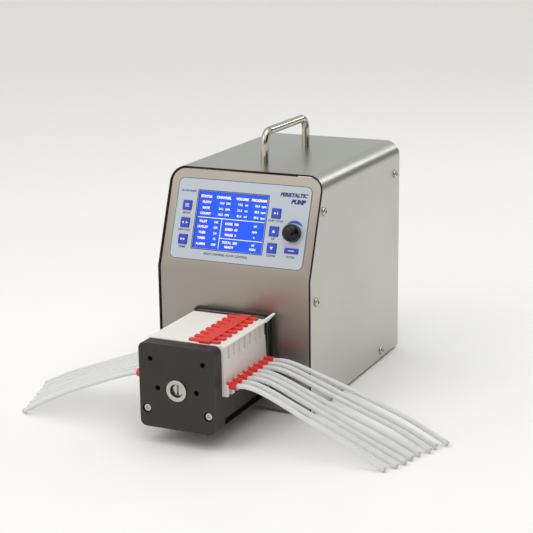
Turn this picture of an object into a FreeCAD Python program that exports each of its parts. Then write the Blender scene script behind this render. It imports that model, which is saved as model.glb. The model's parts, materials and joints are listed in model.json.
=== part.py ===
import FreeCAD, Part
import math
import os
import re

import Sketcher

# An eight-channel peristaltic pump: a bench drive in a sheet-metal cabinet and a
# cassette head on its front. X is to the right seen from the front, Y to the back
# and Z up. The feet stand on Z = 0, and the box round everything but the pump
# tubes is centred on X = 0, Y = 0. Millimetres and degrees.

SIZES = {
    # cabinet
    "cabinet_w": 160.0,
    "cabinet_d": 236.4,
    "cabinet_h": 222.5,
    "foot_h": 3.0,
    "front_y": -62.3,
    "fold_h": 129.6,
    "slope_deg": 20.37,
    "slope_len": 99.1,
    "sheet_t": 1.5,
    "panel_t": 2.0,
    "seam": 0.8,
    "cover_lead": 1.2,
    "corner_r": 15.0,
    "flange_w": 24.0,
    "tray_flange_h": 16.0,
    "foot_r": 8.0,
    "foot_inset": 32.0,
    # screws
    "screw_head_r": 4.5,
    "screw_head_h": 2.2,
    "screw_r": 1.5,
    "screw_hole_r": 1.6,
    "screw_len": 6.0,
    # carrying handle
    "bar_r": 4.0,
    "bar_rise": 30.0,
    "bar_bend_r": 12.0,
    "bar_front": 74.0,
    "bar_back": 174.0,
    "bar_screw_r": 2.0,
    "bar_screw_len": 14.0,
    # operating panel, measured up the slope from the fold
    "overlay_w": 140.0,
    "overlay_low": 8.9,
    "overlay_high": 88.0,
    "overlay_t": 0.5,
    "overlay_r": 6.0,
    "window_left": -47.0,
    "window_right": 26.2,
    "window_low": 20.7,
    "window_high": 76.0,
    "glass_depth": 0.8,
    "display_t": 8.0,
    "display_rim": 4.0,
    "fit_gap": 0.15,
    "key_rise": 0.9,
    "key_depth": 3.4,
    "key_rim": 1.0,
    "key_r": 1.5,
    "knob_x": 55.6,
    "knob_up": 43.0,
    "knob_r": 9.0,
    "knob_low": 1.6,
    "knob_top": 12.5,
    "dial_shaft_r": 3.0,
    "bush_r": 3.5,
    "running_gap": 0.05,
    "board_depth": 12.0,
    "board_t": 1.6,
    # drive
    "shaft_h": 50.8,
    "motor_w": 57.0,
    "motor_len": 56.0,
    "motor_boss_r": 19.05,
    "motor_boss_len": 1.6,
    "motor_shaft_r": 4.0,
    "motor_shaft_len": 38.0,
    "shaft_r": 5.0,
    # pump head, measured forwards from the cabinet's front
    "head_reach": 116.3,
    "head_w": 76.0,
    "head_low": 13.2,
    "head_high": 92.2,
    "head_corner_r": 6.0,
    "front_plate_t": 14.0,
    "rear_plate_t": 8.0,
    "spacer_t": 3.3,
    "flange_t": 3.0,
    "flange_half_w": 41.8,
    "flange_high": 94.5,
    "bearing_r": 9.5,
    "bearing_len": 6.0,
    "ring_r": 9.95,
    "ring_mouth_r": 6.2,
    "shaft_deep": 3.4,
    "slot_half": 1.1,
    "shaft_slot_depth": 2.4,
    "ring_proud": 1.5,
    "rail_top": 46.0,
    "trough_r": 28.5,
    "groove_low": 17.5,
    "groove_high": 24.0,
    "groove_depth": 6.0,
    "head_hole_r": 2.5,
    "head_hole_depth": 9.0,
    "high_hole_x": 26.3,
    "high_hole_h": 77.7,
    "low_hole_x": 19.4,
    "head_screw_x": 30.9,
    "head_screw_h": 30.3,
    "head_screw_r": 2.0,
    "head_screw_head_r": 3.5,
    "head_screw_head_h": 3.0,
    "head_screw_len": 24.0,
    "counterbore_r": 4.5,
    "counterbore_depth": 4.0,
    # rotor
    "disc_r": 26.5,
    "disc_t": 1.4,
    "roller_circle_r": 22.0,
    "roller_r": 5.0,
    "axle_r": 2.0,
    # cassettes and adjusters
    "pitch": 11.0,
    "first_channel": 96.8,
    "side_gap": 0.2,
    "cassette_left": -35.0,
    "cassette_right": 39.5,
    "cassette_top": 93.0,
    "leg_out": 43.5,
    "leg_in": 33.0,
    "ledge_h": 59.0,
    "lip_out": 41.0,
    "bed_r": 29.0,
    "tube_room": 2.9,
    "notch_w": 5.6,
    "slot_left": 13.8,
    "slot_right": 28.2,
    "slot_w": 4.3,
    "slot_depth": 3.2,
    "adjuster_h": 2.6,
    "hub_left": 15.5,
    "hub_right": 26.5,
    "arm_left": 3.6,
    "arm_right": 34.4,
    "arm_w": 5.5,
    "key_foot_left": 17.0,
    "key_foot_right": 25.0,
    "key_foot_w": 4.0,
    "key_foot_depth": 3.0,
    # pump tubes and their stop collars
    "tube_r": 2.4,
    "tube_h": 58.6,
    "tube_exit": 43.6,
    "collar_r": 3.75,
    "collar_bore_r": 2.55,
    "collar_len": 5.0,
    "pressed_t": 1.3,
    "pressed_w": 6.6,
    "pressed_circle_r": 28.0,
    # back of the cabinet
    "entry_x": -42.0,
    "entry_h": 62.0,
    "entry_w": 29.0,
    "entry_tall": 48.0,
    "entry_rim": 2.5,
    "entry_proud": 2.0,
    "entry_depth": 24.0,
    "socket_w": 24.0,
    "socket_tall": 16.4,
    "socket_depth": 17.0,
    "socket_below": 12.0,
    "rocker_above": 12.0,
    "rocker_hole_w": 13.0,
    "rocker_hole_tall": 19.4,
    "rocker_w": 12.4,
    "rocker_tilt": 8.0,
    "rocker_pin_r": 1.4,
    "rocker_pin_len": 1.0,
    "plug_x": 35.0,
    "plug_h": 50.0,
    "connector_proud": 6.0,
}
CHANNELS = range(1, 9)
ROLLERS = 6
# Side screws: distance behind the cabinet's front, height above its underside.
SIDE_SCREWS = [(31.3, 189.6), (12.9, 106.9), (50.0, 8.0), (223.1, 189.5), (185.7, 8.0)]
# Keys: name, centre across, centre up the slope, width, height.
KEYS = [
    ("mode_key", -57.6, 60.9, 9.4, 9.3),
    ("direction_key", -57.6, 44.1, 9.4, 9.3),
    ("prime_key", -57.6, 27.9, 9.4, 9.3),
    ("start_key", 36.3, 60.4, 9.4, 9.3),
    ("up_key", 36.3, 43.3, 9.4, 9.3),
    ("down_key", 36.3, 27.4, 9.4, 9.3),
    ("enter_key", 56.5, 26.6, 14.0, 4.9),
]
# Free runs of the pump tubes, front channel first: distance out from the centre
# plane and height of the tube's centre. The last point is the tip on the floor.
RIGHT_RUNS = [
    [(43.6, 58.6), (50.5, 58.6), (60, 59.7), (74, 56.4), (94, 47.9), (115, 37.8),
     (139, 27.3), (161, 16.6), (178, 7.6), (190, 2.3)],
    [(43.6, 58.6), (50.5, 58.6), (61, 59.4), (76, 55.1), (96, 46), (119, 36.2),
     (143, 26.2), (165, 16.4), (183, 8), (197, 2.3)],
    [(43.6, 58.6), (50.5, 58.6), (61, 60.1), (77, 56.3), (98, 46.9), (120, 37.4),
     (144, 26.5), (167, 16.7), (186, 8.2), (201, 2.3)],
    [(43.6, 58.6), (50.5, 58.6), (61, 59.9), (77, 55.8), (97, 47.1), (119, 37),
     (143, 26.4), (166, 16.7), (187, 8.4), (203, 2.3)],
    [(43.6, 58.6), (50.5, 58.6), (61, 59.2), (76, 54.6), (96, 46.4), (118, 37.6),
     (143, 28.2), (168, 19.2), (189, 10.6), (206, 2.3)],
    [(43.6, 58.6), (50.5, 58.6), (62, 60.2), (78, 56.5), (98, 48.9), (121, 40.3),
     (147, 30.8), (172, 22), (195, 11.6), (212, 2.3)],
    [(43.6, 58.6), (50.5, 58.6), (62, 60.3), (77, 56.8), (97, 49.1), (120, 40.9),
     (145, 31.4), (171, 22.3), (196, 11.6), (214, 2.3)],
    [(43.6, 58.6), (50.5, 58.6), (62, 60.3), (78, 56.6), (98, 50.1), (123, 42.4),
     (150, 33.2), (178, 23.2), (202, 12.3), (221, 2.3)],
]
LEFT_RUNS = [
    [(43.6, 58.6), (50.5, 58.6), (59, 56.6), (71, 52.4), (90, 45), (112, 36),
     (136, 25.6), (158, 14.4), (178, 2.3)],
    [(43.6, 58.6), (50.5, 58.6), (59, 57), (72, 52.6), (91, 45), (113, 36.4),
     (137, 25.4), (160, 14), (180, 2.3)],
    [(43.6, 58.6), (50.5, 58.6), (60, 57.4), (73, 52.8), (92, 45.2), (115, 35.9),
     (139, 25.5), (163, 14.4), (184, 2.3)],
    [(43.6, 58.6), (50.5, 58.6), (60, 57.7), (74, 53), (93, 45.2), (116, 36.2),
     (141, 25.7), (165, 15), (187, 2.3)],
    [(43.6, 58.6), (50.5, 58.6), (60, 57.8), (74, 53.2), (94, 45.2), (117, 36.4),
     (142, 25.7), (167, 14.8), (191, 2.3)],
    [(43.6, 58.6), (50.5, 58.6), (60, 58), (75, 53.6), (95, 45.6), (118, 36.8),
     (144, 26.2), (170, 15.3), (194, 2.3)],
    [(43.6, 58.6), (50.5, 58.6), (61, 58.2), (76, 54), (96, 46), (119, 37.1),
     (146, 26.3), (173, 15.8), (198, 2.3)],
    [(43.6, 58.6), (50.5, 58.6), (61, 58.4), (77, 54.1), (97, 46.2), (121, 36.9),
     (149, 26.4), (177, 15.7), (203, 2.3)],
]

V = FreeCAD.Vector
X_AXIS, Y_AXIS, Z_AXIS = V(1, 0, 0), V(0, 1, 0), V(0, 0, 1)
TURNS = {
    "x": FreeCAD.Rotation(Y_AXIS, 90),
    "y": FreeCAD.Rotation(X_AXIS, -90),
    "z": FreeCAD.Rotation(),
}
PATHS = {
    "x": "Placement.Base.x",
    "y": "Placement.Base.y",
    "z": "Placement.Base.z",
    "tilt": "Placement.Rotation.Angle",
    "shift": "AttachmentOffset.Base.z",
}
WORD = re.compile(r"[a-z][a-z_0-9]*")

doc = FreeCAD.newDocument("peristaltic_pump")
sheet = doc.addObject("Spreadsheet::Sheet", "dims")
for row, (alias, size) in enumerate(SIZES.items(), start=1):
    sheet.set(f"A{row}", alias)
    sheet.set(f"B{row}", str(size))
    sheet.setAlias(f"B{row}", alias)
doc.recompute()

nodes = []


# ---------------------------------------------------------------- formulas
def formula(text):
    """A formula with each driving dimension's name pointed at the sheet."""
    return WORD.sub(lambda m: f"dims.{m[0]}" if m[0] in SIZES else m[0], str(text))


def value(text):
    """What a formula comes to."""
    return float(sheet.evalExpression(formula(text)))


def bind(item, **formulas):
    """Ties properties of a document object to formulas."""
    for name, text in formulas.items():
        item.setExpression(PATHS.get(name, name), formula(text))
    return item


def node(item, name):
    """Marks a document object as a finished sub-part."""
    item.Label = name
    nodes.append(item)
    return item


# ---------------------------------------------------------------- Part objects
def block(name, x, y, z):
    """A box between pairs of formulas, low and high, along each axis."""
    item = doc.addObject("Part::Box", name)
    bind(item, x=x[0], y=y[0], z=z[0])
    bind(item, Length=f"({x[1]}) - ({x[0]})", Width=f"({y[1]}) - ({y[0]})", Height=f"({z[1]}) - ({z[0]})")
    return item


def rod(name, along, start, radius, length):
    """A cylinder along x, y or z from its start point."""
    item = doc.addObject("Part::Cylinder", name)
    item.Placement = FreeCAD.Placement(V(), TURNS[along])
    return bind(item, x=start[0], y=start[1], z=start[2], Radius=radius, Height=length)


def group(name, items):
    """Separate solids kept together."""
    item = doc.addObject("Part::Compound", name)
    item.Links = items
    return item


def join(name, items):
    item = doc.addObject("Part::MultiFuse", name)
    item.Shapes = items
    return item


def cut(name, base, tools):
    item = doc.addObject("Part::Cut", name)
    item.Base = base
    item.Tool = tools[0] if len(tools) == 1 else join(f"{name}_tools", tools)
    return item


def on_slope(item, across="0", up="0", out="0"):
    """Stands an object drawn with Z outwards on the sloping operating panel."""
    item.Placement = FreeCAD.Placement(V(), FreeCAD.Rotation(X_AXIS, 1))
    bind(
        item,
        tilt="90 - slope_deg",
        x=across,
        y=f"front_y + ({up}) * sin(slope_deg) - ({out}) * cos(slope_deg)",
        z=f"foot_h + fold_h + ({up}) * cos(slope_deg) + ({out}) * sin(slope_deg)",
    )
    return item


def shaped(name, shape):
    """A sub-part whose shape the code works out from the sheet."""
    item = doc.addObject("Part::Feature", name)
    item.Shape = shape
    return item


# ---------------------------------------------------------------- PartDesign
def body(name):
    return doc.addObject("PartDesign::Body", name)


def sketch(owner, name, plane, shift="0"):
    """A sketch on one of a body's own origin planes, shifted along its normal."""
    item = owner.newObject("Sketcher::SketchObject", f"{owner.Name}_{name}")
    planes = {feature.Role: feature for feature in owner.Origin.OriginFeatures}
    item.AttachmentSupport = (planes[f"{plane}_Plane"], [""])
    item.MapMode = "FlatFace"
    return bind(item, shift=shift)


def place_point(item, element, point, u, v=None):
    """Holds one point of a sketch at formulas, or only across when the second is left out."""
    for kind, text in (("DistanceX", u), ("DistanceY", v)):
        if text is None:
            continue
        number = item.addConstraint(Sketcher.Constraint(kind, -1, 1, element, point, value(text)))
        item.setExpression(f"Constraints[{number}]", formula(text))


def polygon(item, points):
    """A closed outline of straight edges through points given as formulas."""
    spots = [V(value(u), value(v), 0) for u, v in points]
    first = item.GeometryCount
    count = len(points)
    for k in range(count):
        item.addGeometry(Part.LineSegment(spots[k], spots[(k + 1) % count]))
    for k in range(count):
        item.addConstraint(Sketcher.Constraint("Coincident", first + k, 2, first + (k + 1) % count, 1))
        place_point(item, first + k, 1, *points[k])
    return item


def rectangle(item, u, v):
    return polygon(item, [(u[0], v[0]), (u[1], v[0]), (u[1], v[1]), (u[0], v[1])])


def circle(item, u, v, radius):
    number = item.addGeometry(Part.Circle(V(value(u), value(v), 0), Z_AXIS, value(radius)))
    place_point(item, number, 3, u, v)
    held = item.addConstraint(Sketcher.Constraint("Radius", number, value(radius)))
    item.setExpression(f"Constraints[{held}]", formula(radius))
    return item


def feature(owner, kind, profile, **formulas):
    item = owner.newObject(f"PartDesign::{kind}", f"{profile.Name}_{kind.lower()}")
    item.Profile = profile
    return bind(item, **formulas)


def pad(owner, profile, length):
    return feature(owner, "Pad", profile, Length=length)


def pocket(owner, profile, length, backwards=False):
    """Cuts against the sketch's normal, or along it when backwards."""
    before = owner.Tip
    doc.recompute()
    full = before.Shape.Volume
    item = feature(owner, "Pocket", profile, Length=length)
    item.Reversed = backwards
    doc.recompute()
    if not item.Shape.Volume < full - 1e-6:
        raise RuntimeError(f"{item.Name} cuts nothing")
    return item


def round_edges(owner, radius, wanted):
    """Fillets the edges of a body's tip that pass a test."""
    base = owner.Tip
    doc.recompute()
    names = [f"Edge{k}" for k, edge in enumerate(base.Shape.Edges, start=1) if wanted(edge)]
    if not names:
        raise RuntimeError(f"no edge to round on {owner.Name}")
    item = owner.newObject("PartDesign::Fillet", f"{base.Name}_round")
    item.Base = (base, names)
    return bind(item, Radius=radius)


def runs_along(edge, axis):
    return edge.Curve.TypeId == "Part::GeomLine" and abs(edge.tangentAt(edge.FirstParameter).dot(axis)) > 0.999


# ---------------------------------------------------------------- cabinet
UNDER = "foot_h"
TOP = "(foot_h + cabinet_h)"
BACK = "(front_y + cabinet_d)"
SETBACK = "(slope_len * sin(slope_deg))"
INNER = "(cabinet_w / 2 - sheet_t)"
PANEL_HALF = "(cabinet_w / 2 - sheet_t - seam)"


def side_holes(owner, screws, half_width):
    """Clearance holes for side screws through both side walls of a body."""
    holes = sketch(owner, "side_holes", "YZ", f"-({half_width})")
    for behind, height in screws:
        circle(holes, f"front_y + {behind}", f"foot_h + {height}", "screw_hole_r")
    pocket(owner, holes, f"2 * ({half_width})", backwards=True)


def make_rubber_feet():
    feet = []
    for k, side in enumerate((-1, 1)):
        for m, y in enumerate(("front_y + foot_inset", f"{BACK} - foot_inset")):
            foot = doc.addObject("Part::Cone", f"foot_{k}{m}")
            bind(foot, Radius1="foot_r - 1", Radius2="foot_r", Height="foot_h")
            feet.append(bind(foot, x=f"{side} * (cabinet_w / 2 - foot_inset + 8)", y=y))
    node(group("feet", feet), "rubber_feet")


def make_base_tray():
    tray = body("base_tray")
    section = sketch(tray, "section", "XZ", f"-({BACK} - sheet_t)")
    edge, inside = INNER, f"({INNER} - sheet_t)"
    polygon(section, [
        (f"-{edge}", UNDER), (edge, UNDER), (edge, f"{UNDER} + tray_flange_h"),
        (inside, f"{UNDER} + tray_flange_h"), (inside, f"{UNDER} + sheet_t"),
        (f"-{inside}", f"{UNDER} + sheet_t"), (f"-{inside}", f"{UNDER} + tray_flange_h"),
        (f"-{edge}", f"{UNDER} + tray_flange_h"),
    ])
    pad(tray, section, "cabinet_d - sheet_t - panel_t")
    side_holes(tray, [screw for screw in SIDE_SCREWS if screw[1] < 20], "cabinet_w / 2")
    node(tray, "base_tray")


def make_wrap_cover():
    cover = body("wrap_cover")
    section = sketch(cover, "section", "XZ", f"-{BACK}")
    polygon(section, [
        ("-cabinet_w / 2", UNDER), ("-cabinet_w / 2", TOP), ("cabinet_w / 2", TOP), ("cabinet_w / 2", UNDER),
        (INNER, UNDER), (INNER, f"{TOP} - sheet_t"), (f"-{INNER}", f"{TOP} - sheet_t"), (f"-{INNER}", UNDER),
    ])
    pad(cover, section, "cabinet_d + cover_lead")
    outer, inner = value("cabinet_w / 2"), value(INNER)
    top, ceiling = value(TOP), value(f"{TOP} - sheet_t")

    def is_corner(edge, half, height):
        spot = edge.CenterOfMass
        return runs_along(edge, Y_AXIS) and abs(abs(spot.x) - half) < 0.01 and abs(spot.z - height) < 0.01

    round_edges(cover, "corner_r", lambda edge: is_corner(edge, outer, top))
    round_edges(cover, "corner_r - sheet_t", lambda edge: is_corner(edge, inner, ceiling))
    edge_y, edge_z = "(front_y - cover_lead)", "(foot_h + fold_h + cover_lead * tan(slope_deg / 2))"
    wedge = sketch(cover, "wedge", "YZ", "-cabinet_w / 2 - 1")
    polygon(wedge, [
        (f"{edge_y} - 1", f"{edge_z} - 1 / tan(slope_deg)"),
        (f"{edge_y} + 3 * {SETBACK} / 2", f"{edge_z} + 3 * slope_len * cos(slope_deg) / 2"),
        (f"{edge_y} - 1", f"{edge_z} + 3 * slope_len * cos(slope_deg) / 2"),
    ])
    pocket(cover, wedge, "cabinet_w + 2", backwards=True)
    side_holes(cover, SIDE_SCREWS, "cabinet_w / 2 + 1")
    bar_holes = sketch(cover, "bar_holes", "XY", f"{TOP} + 1")
    for behind in ("bar_front", "bar_back"):
        circle(bar_holes, "0", f"front_y + {behind}", "bar_screw_r + 0.1")
    pocket(cover, bar_holes, "sheet_t + 2")
    node(cover, "wrap_cover")


def make_front_panel():
    """A folded panel: upright below, sloping above, with flanges to the back."""
    panel = body("front_panel")
    profile = sketch(panel, "profile", "YZ", f"-{PANEL_HALF}")
    high = f"(slope_len - (sheet_t + seam) / cos(slope_deg))"
    y_high, z_high = f"front_y + {high} * sin(slope_deg)", f"foot_h + fold_h + {high} * cos(slope_deg)"
    polygon(profile, [
        ("front_y", UNDER), ("front_y", "foot_h + fold_h"), (y_high, z_high),
        (f"{y_high} + panel_t * cos(slope_deg)", f"{z_high} - panel_t * sin(slope_deg)"),
        ("front_y + panel_t", "foot_h + fold_h - panel_t * tan(slope_deg / 2)"), ("front_y + panel_t", UNDER),
    ])
    pad(panel, profile, f"2 * {PANEL_HALF}")
    slope = math.radians(value("slope_deg"))
    through, near_top = V(0, math.cos(slope), -math.sin(slope)), value(f"{z_high} - 3")
    round_edges(panel, "corner_r - sheet_t - seam",
                lambda edge: runs_along(edge, through) and edge.CenterOfMass.z > near_top)
    flanges = sketch(panel, "flanges", "YZ", f"-{PANEL_HALF}")
    polygon(flanges, [
        ("front_y + panel_t / 2", "foot_h + 30"), ("front_y + panel_t / 2", "foot_h + fold_h"),
        (f"front_y + 85 * sin(slope_deg) + 1", "foot_h + fold_h + 85 * cos(slope_deg)"),
        (f"front_y + 85 * sin(slope_deg) + flange_w", "foot_h + fold_h + 85 * cos(slope_deg)"),
        ("front_y + flange_w", "foot_h + fold_h"), ("front_y + flange_w", "foot_h + 30"),
    ])
    pad(panel, flanges, "sheet_t")
    other = sketch(panel, "other_flange", "YZ", f"{PANEL_HALF} - sheet_t")
    polygon(other, [
        ("front_y + panel_t / 2", "foot_h + 30"), ("front_y + panel_t / 2", "foot_h + fold_h"),
        (f"front_y + 85 * sin(slope_deg) + 1", "foot_h + fold_h + 85 * cos(slope_deg)"),
        (f"front_y + 85 * sin(slope_deg) + flange_w", "foot_h + fold_h + 85 * cos(slope_deg)"),
        ("front_y + flange_w", "foot_h + fold_h"), ("front_y + flange_w", "foot_h + 30"),
    ])
    pad(panel, other, "sheet_t")
    side_holes(panel, SIDE_SCREWS[:2], "cabinet_w / 2")

    drive = sketch(panel, "drive_holes", "XZ", "-front_y + 1")
    circle(drive, "0", "foot_h + shaft_h", "motor_boss_r + 0.15")
    for x, height in FLANGE_SCREWS:
        circle(drive, x, f"foot_h + {height}", "head_screw_r + 0.1")
    pocket(panel, drive, "panel_t + 2")

    plain = node(panel, "front_panel_blank")
    nodes.remove(plain)
    tools = [
        block("panel_window", ("window_left", "window_right"), ("window_low", "window_high"), ("-6", "4")),
        rod("panel_dial_hole", "z", ("knob_x", "knob_up", "-6"), "bush_r + 0.2", "10"),
    ]
    for name, across, up, wide, tall in KEYS:
        tools.append(block(
            f"panel_{name}",
            (f"{across} - {wide} / 2 - fit_gap", f"{across} + {wide} / 2 + fit_gap"),
            (f"{up} - {tall} / 2 - fit_gap", f"{up} + {tall} / 2 + fit_gap"),
            ("-6", "4"),
        ))
    holes = on_slope(group("panel_holes", tools))
    node(cut("front_panel_pierced", plain, [holes]), "front_panel")


def make_rear_panel():
    panel = body("rear_panel_blank")
    face = sketch(panel, "face", "XZ", f"-{BACK}")
    rectangle(face, (f"-{PANEL_HALF}", PANEL_HALF), (UNDER, f"{TOP} - sheet_t - seam"))
    pad(panel, face, "sheet_t")
    high = value(f"{TOP} - sheet_t - seam")
    round_edges(panel, "corner_r - sheet_t - seam",
                lambda edge: runs_along(edge, Y_AXIS) and abs(edge.CenterOfMass.z - high) < 0.01)
    for name, x in (("left_flange", f"-{PANEL_HALF}"), ("right_flange", f"{PANEL_HALF} - sheet_t")):
        flange = sketch(panel, name, "YZ", x)
        rectangle(flange, (f"{BACK} - flange_w", f"{BACK} - sheet_t / 2"), ("foot_h + 30", "foot_h + 200"))
        pad(panel, flange, "sheet_t")
    side_holes(panel, SIDE_SCREWS[3:4], "cabinet_w / 2")
    openings = sketch(panel, "openings", "XZ", f"-{BACK} - 1")
    rectangle(openings, ("entry_x - entry_w / 2", "entry_x + entry_w / 2"),
              ("foot_h + entry_h - entry_tall / 2", "foot_h + entry_h + entry_tall / 2"))
    rectangle(openings, ("plug_x - 13", "plug_x + 13"), ("foot_h + plug_h - 5", "foot_h + plug_h + 5"))
    for side in (-1, 1):
        circle(openings, f"plug_x + {side} * 16.65", "foot_h + plug_h", "1.6")
    for k in range(9):
        rectangle(openings, ("-36", "36"), (f"foot_h + {120 + 8 * k}", f"foot_h + {123 + 8 * k}"))
    pocket(panel, openings, "sheet_t + 2", backwards=True)
    node(panel, "rear_panel")


def make_cover_screws():
    """Button-head screws: shank through the side wall, and two up into the handle."""
    screws = []
    for k, (behind, height) in enumerate(SIDE_SCREWS):
        for side, mark in ((1, "r"), (-1, "l")):
            y, z = f"front_y + {behind}", f"foot_h + {height}"
            shank = rod(f"shank_{k}{mark}", "x", ("0", y, z), "screw_r", "screw_len + 0.5")
            bind(shank, x="cabinet_w / 2 - screw_len" if side > 0 else "-cabinet_w / 2 - 0.5")
            head = rod(f"head_{k}{mark}", "x", ("0", y, z), "screw_head_r", "screw_head_h")
            bind(head, x="cabinet_w / 2" if side > 0 else "-cabinet_w / 2 - screw_head_h")
            screws.append(join(f"side_screw_{k}{mark}", [shank, head]))
    for k, behind in enumerate(("bar_front", "bar_back")):
        y = f"front_y + {behind}"
        shank = rod(f"bar_shank_{k}", "z", ("0", y, f"{TOP} - sheet_t - 1"), "bar_screw_r", "bar_screw_len")
        head = rod(f"bar_head_{k}", "z", ("0", y, f"{TOP} - sheet_t - 3"), "4", "3")
        screws.append(join(f"bar_screw_{k}", [shank, head]))
    node(group("screws", screws), "cover_screws")


def make_carry_handle():
    """A round bar bent into a bow, standing on the cabinet's top."""
    handle = body("carry_handle")
    section = sketch(handle, "section", "XY", TOP)
    circle(section, "0", "front_y + bar_front", "bar_r")
    route = sketch(handle, "route", "YZ")
    front, back = value("front_y + bar_front"), value("front_y + bar_back")
    low, high, bend = value(TOP), value(f"{TOP} + bar_rise"), value("bar_bend_r")
    middle = bend * (1 - math.sqrt(0.5))
    route.addGeometry(Part.LineSegment(V(front, low, 0), V(front, high - bend, 0)))
    route.addGeometry(Part.Arc(V(front, high - bend, 0), V(front + middle, high - middle, 0),
                               V(front + bend, high, 0)))
    route.addGeometry(Part.LineSegment(V(front + bend, high, 0), V(back - bend, high, 0)))
    route.addGeometry(Part.Arc(V(back - bend, high, 0), V(back - middle, high - middle, 0),
                               V(back, high - bend, 0)))
    route.addGeometry(Part.LineSegment(V(back, high - bend, 0), V(back, low, 0)))
    # An arc runs counter-clockwise in a sketch, so its end is the point nearer the front.
    route.addConstraint(Sketcher.Constraint("Coincident", 0, 2, 1, 2))
    route.addConstraint(Sketcher.Constraint("Coincident", 1, 1, 2, 1))
    route.addConstraint(Sketcher.Constraint("Coincident", 2, 2, 3, 2))
    route.addConstraint(Sketcher.Constraint("Coincident", 3, 1, 4, 1))
    place_point(route, 0, 1, "front_y + bar_front", TOP)
    place_point(route, 0, 2, "front_y + bar_front", f"{TOP} + bar_rise - bar_bend_r")
    place_point(route, 2, 1, "front_y + bar_front + bar_bend_r", f"{TOP} + bar_rise")
    place_point(route, 2, 2, "front_y + bar_back - bar_bend_r", f"{TOP} + bar_rise")
    place_point(route, 4, 1, "front_y + bar_back", f"{TOP} + bar_rise - bar_bend_r")
    place_point(route, 4, 2, "front_y + bar_back", TOP)
    place_point(route, 1, 3, "front_y + bar_front + bar_bend_r")
    place_point(route, 3, 3, "front_y + bar_back - bar_bend_r")
    doc.recompute()
    bar = handle.newObject("PartDesign::AdditivePipe", "carry_handle_bar")
    bar.Profile = section
    bar.Spine = (route, [f"Edge{k}" for k in range(1, 6)])
    doc.recompute()
    holes = sketch(handle, "screw_holes", "XY", TOP)
    for behind in ("bar_front", "bar_back"):
        circle(holes, "0", f"front_y + {behind}", "bar_screw_r + 0.1")
    pocket(handle, holes, "bar_screw_len", backwards=True)
    node(handle, "carry_handle")


# ---------------------------------------------------------------- operating panel
def make_keypad_overlay():
    overlay = body("keypad_overlay")
    face = sketch(overlay, "face", "XY")
    rectangle(face, ("-overlay_w / 2", "overlay_w / 2"), ("overlay_low", "overlay_high"))
    pad(overlay, face, "overlay_t")
    round_edges(overlay, "overlay_r", lambda edge: runs_along(edge, Z_AXIS))
    holes = sketch(overlay, "holes", "XY", "overlay_t + 1")
    rectangle(holes, ("window_left", "window_right"), ("window_low", "window_high"))
    for name, across, up, wide, tall in KEYS:
        rectangle(holes, (f"{across} - {wide} / 2 - fit_gap", f"{across} + {wide} / 2 + fit_gap"),
                  (f"{up} - {tall} / 2 - fit_gap", f"{up} + {tall} / 2 + fit_gap"))
    circle(holes, "knob_x", "knob_up", "bush_r + 0.2")
    pocket(overlay, holes, "overlay_t + 2")
    node(on_slope(overlay), "keypad_overlay")


def make_lcd_module():
    glass = block("lcd_glass", ("window_left + fit_gap", "window_right - fit_gap"),
                  ("window_low + fit_gap", "window_high - fit_gap"), ("-3", "-glass_depth"))
    back = block("lcd_back", ("window_left - display_rim", "window_right + display_rim - 1.5"),
                 ("window_low - display_rim", "window_high + display_rim"), ("-display_t", "-panel_t - 0.2"))
    node(on_slope(join("lcd", [glass, back])), "lcd_module")


def make_keys():
    for name, across, up, wide, tall in KEYS:
        key = body(name)
        cap = sketch(key, "cap", "XY", "-key_depth")
        rectangle(cap, (f"{across} - {wide} / 2", f"{across} + {wide} / 2"),
                  (f"{up} - {tall} / 2", f"{up} + {tall} / 2"))
        pad(key, cap, "key_depth + overlay_t + key_rise")
        round_edges(key, "key_r", lambda edge: runs_along(edge, Z_AXIS))
        rim = sketch(key, "rim", "XY", "-key_depth")
        rectangle(rim, (f"{across} - {wide} / 2 - key_rim", f"{across} + {wide} / 2 + key_rim"),
                  (f"{up} - {tall} / 2 - key_rim", f"{up} + {tall} / 2 + key_rim"))
        pad(key, rim, "key_rim")
        node(on_slope(key), name)


def make_control_knob():
    knob = body("control_knob")
    half = sketch(knob, "half", "XZ")
    polygon(half, [
        ("bush_r + 0.7", "knob_low"), ("knob_r", "knob_low"), ("knob_r", "knob_top - 7.5"),
        ("knob_r - 0.5", "knob_top - 4.5"), ("knob_r - 1.8", "knob_top - 2.3"), ("knob_r - 3.8", "knob_top - 0.9"),
        ("knob_r - 6.4", "knob_top - 0.2"), ("0", "knob_top"), ("0", "knob_top - 4"),
        ("dial_shaft_r + 0.02", "knob_top - 4"),
        ("dial_shaft_r + 0.02", "knob_low + 1"), ("bush_r + 0.7", "knob_low + 1"),
    ])
    turned = feature(knob, "Revolution", half, Angle="360")
    turned.ReferenceAxis = (half, ["V_Axis"])
    node(on_slope(knob, "knob_x", "knob_up"), "control_knob")
    shaft = rod("dial_shaft", "z", ("0", "0", "0"), "dial_shaft_r", "knob_top - 4 + board_depth - 2")
    node(on_slope(shaft, "knob_x", "knob_up", "-board_depth + 2"), "encoder_shaft")


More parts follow.
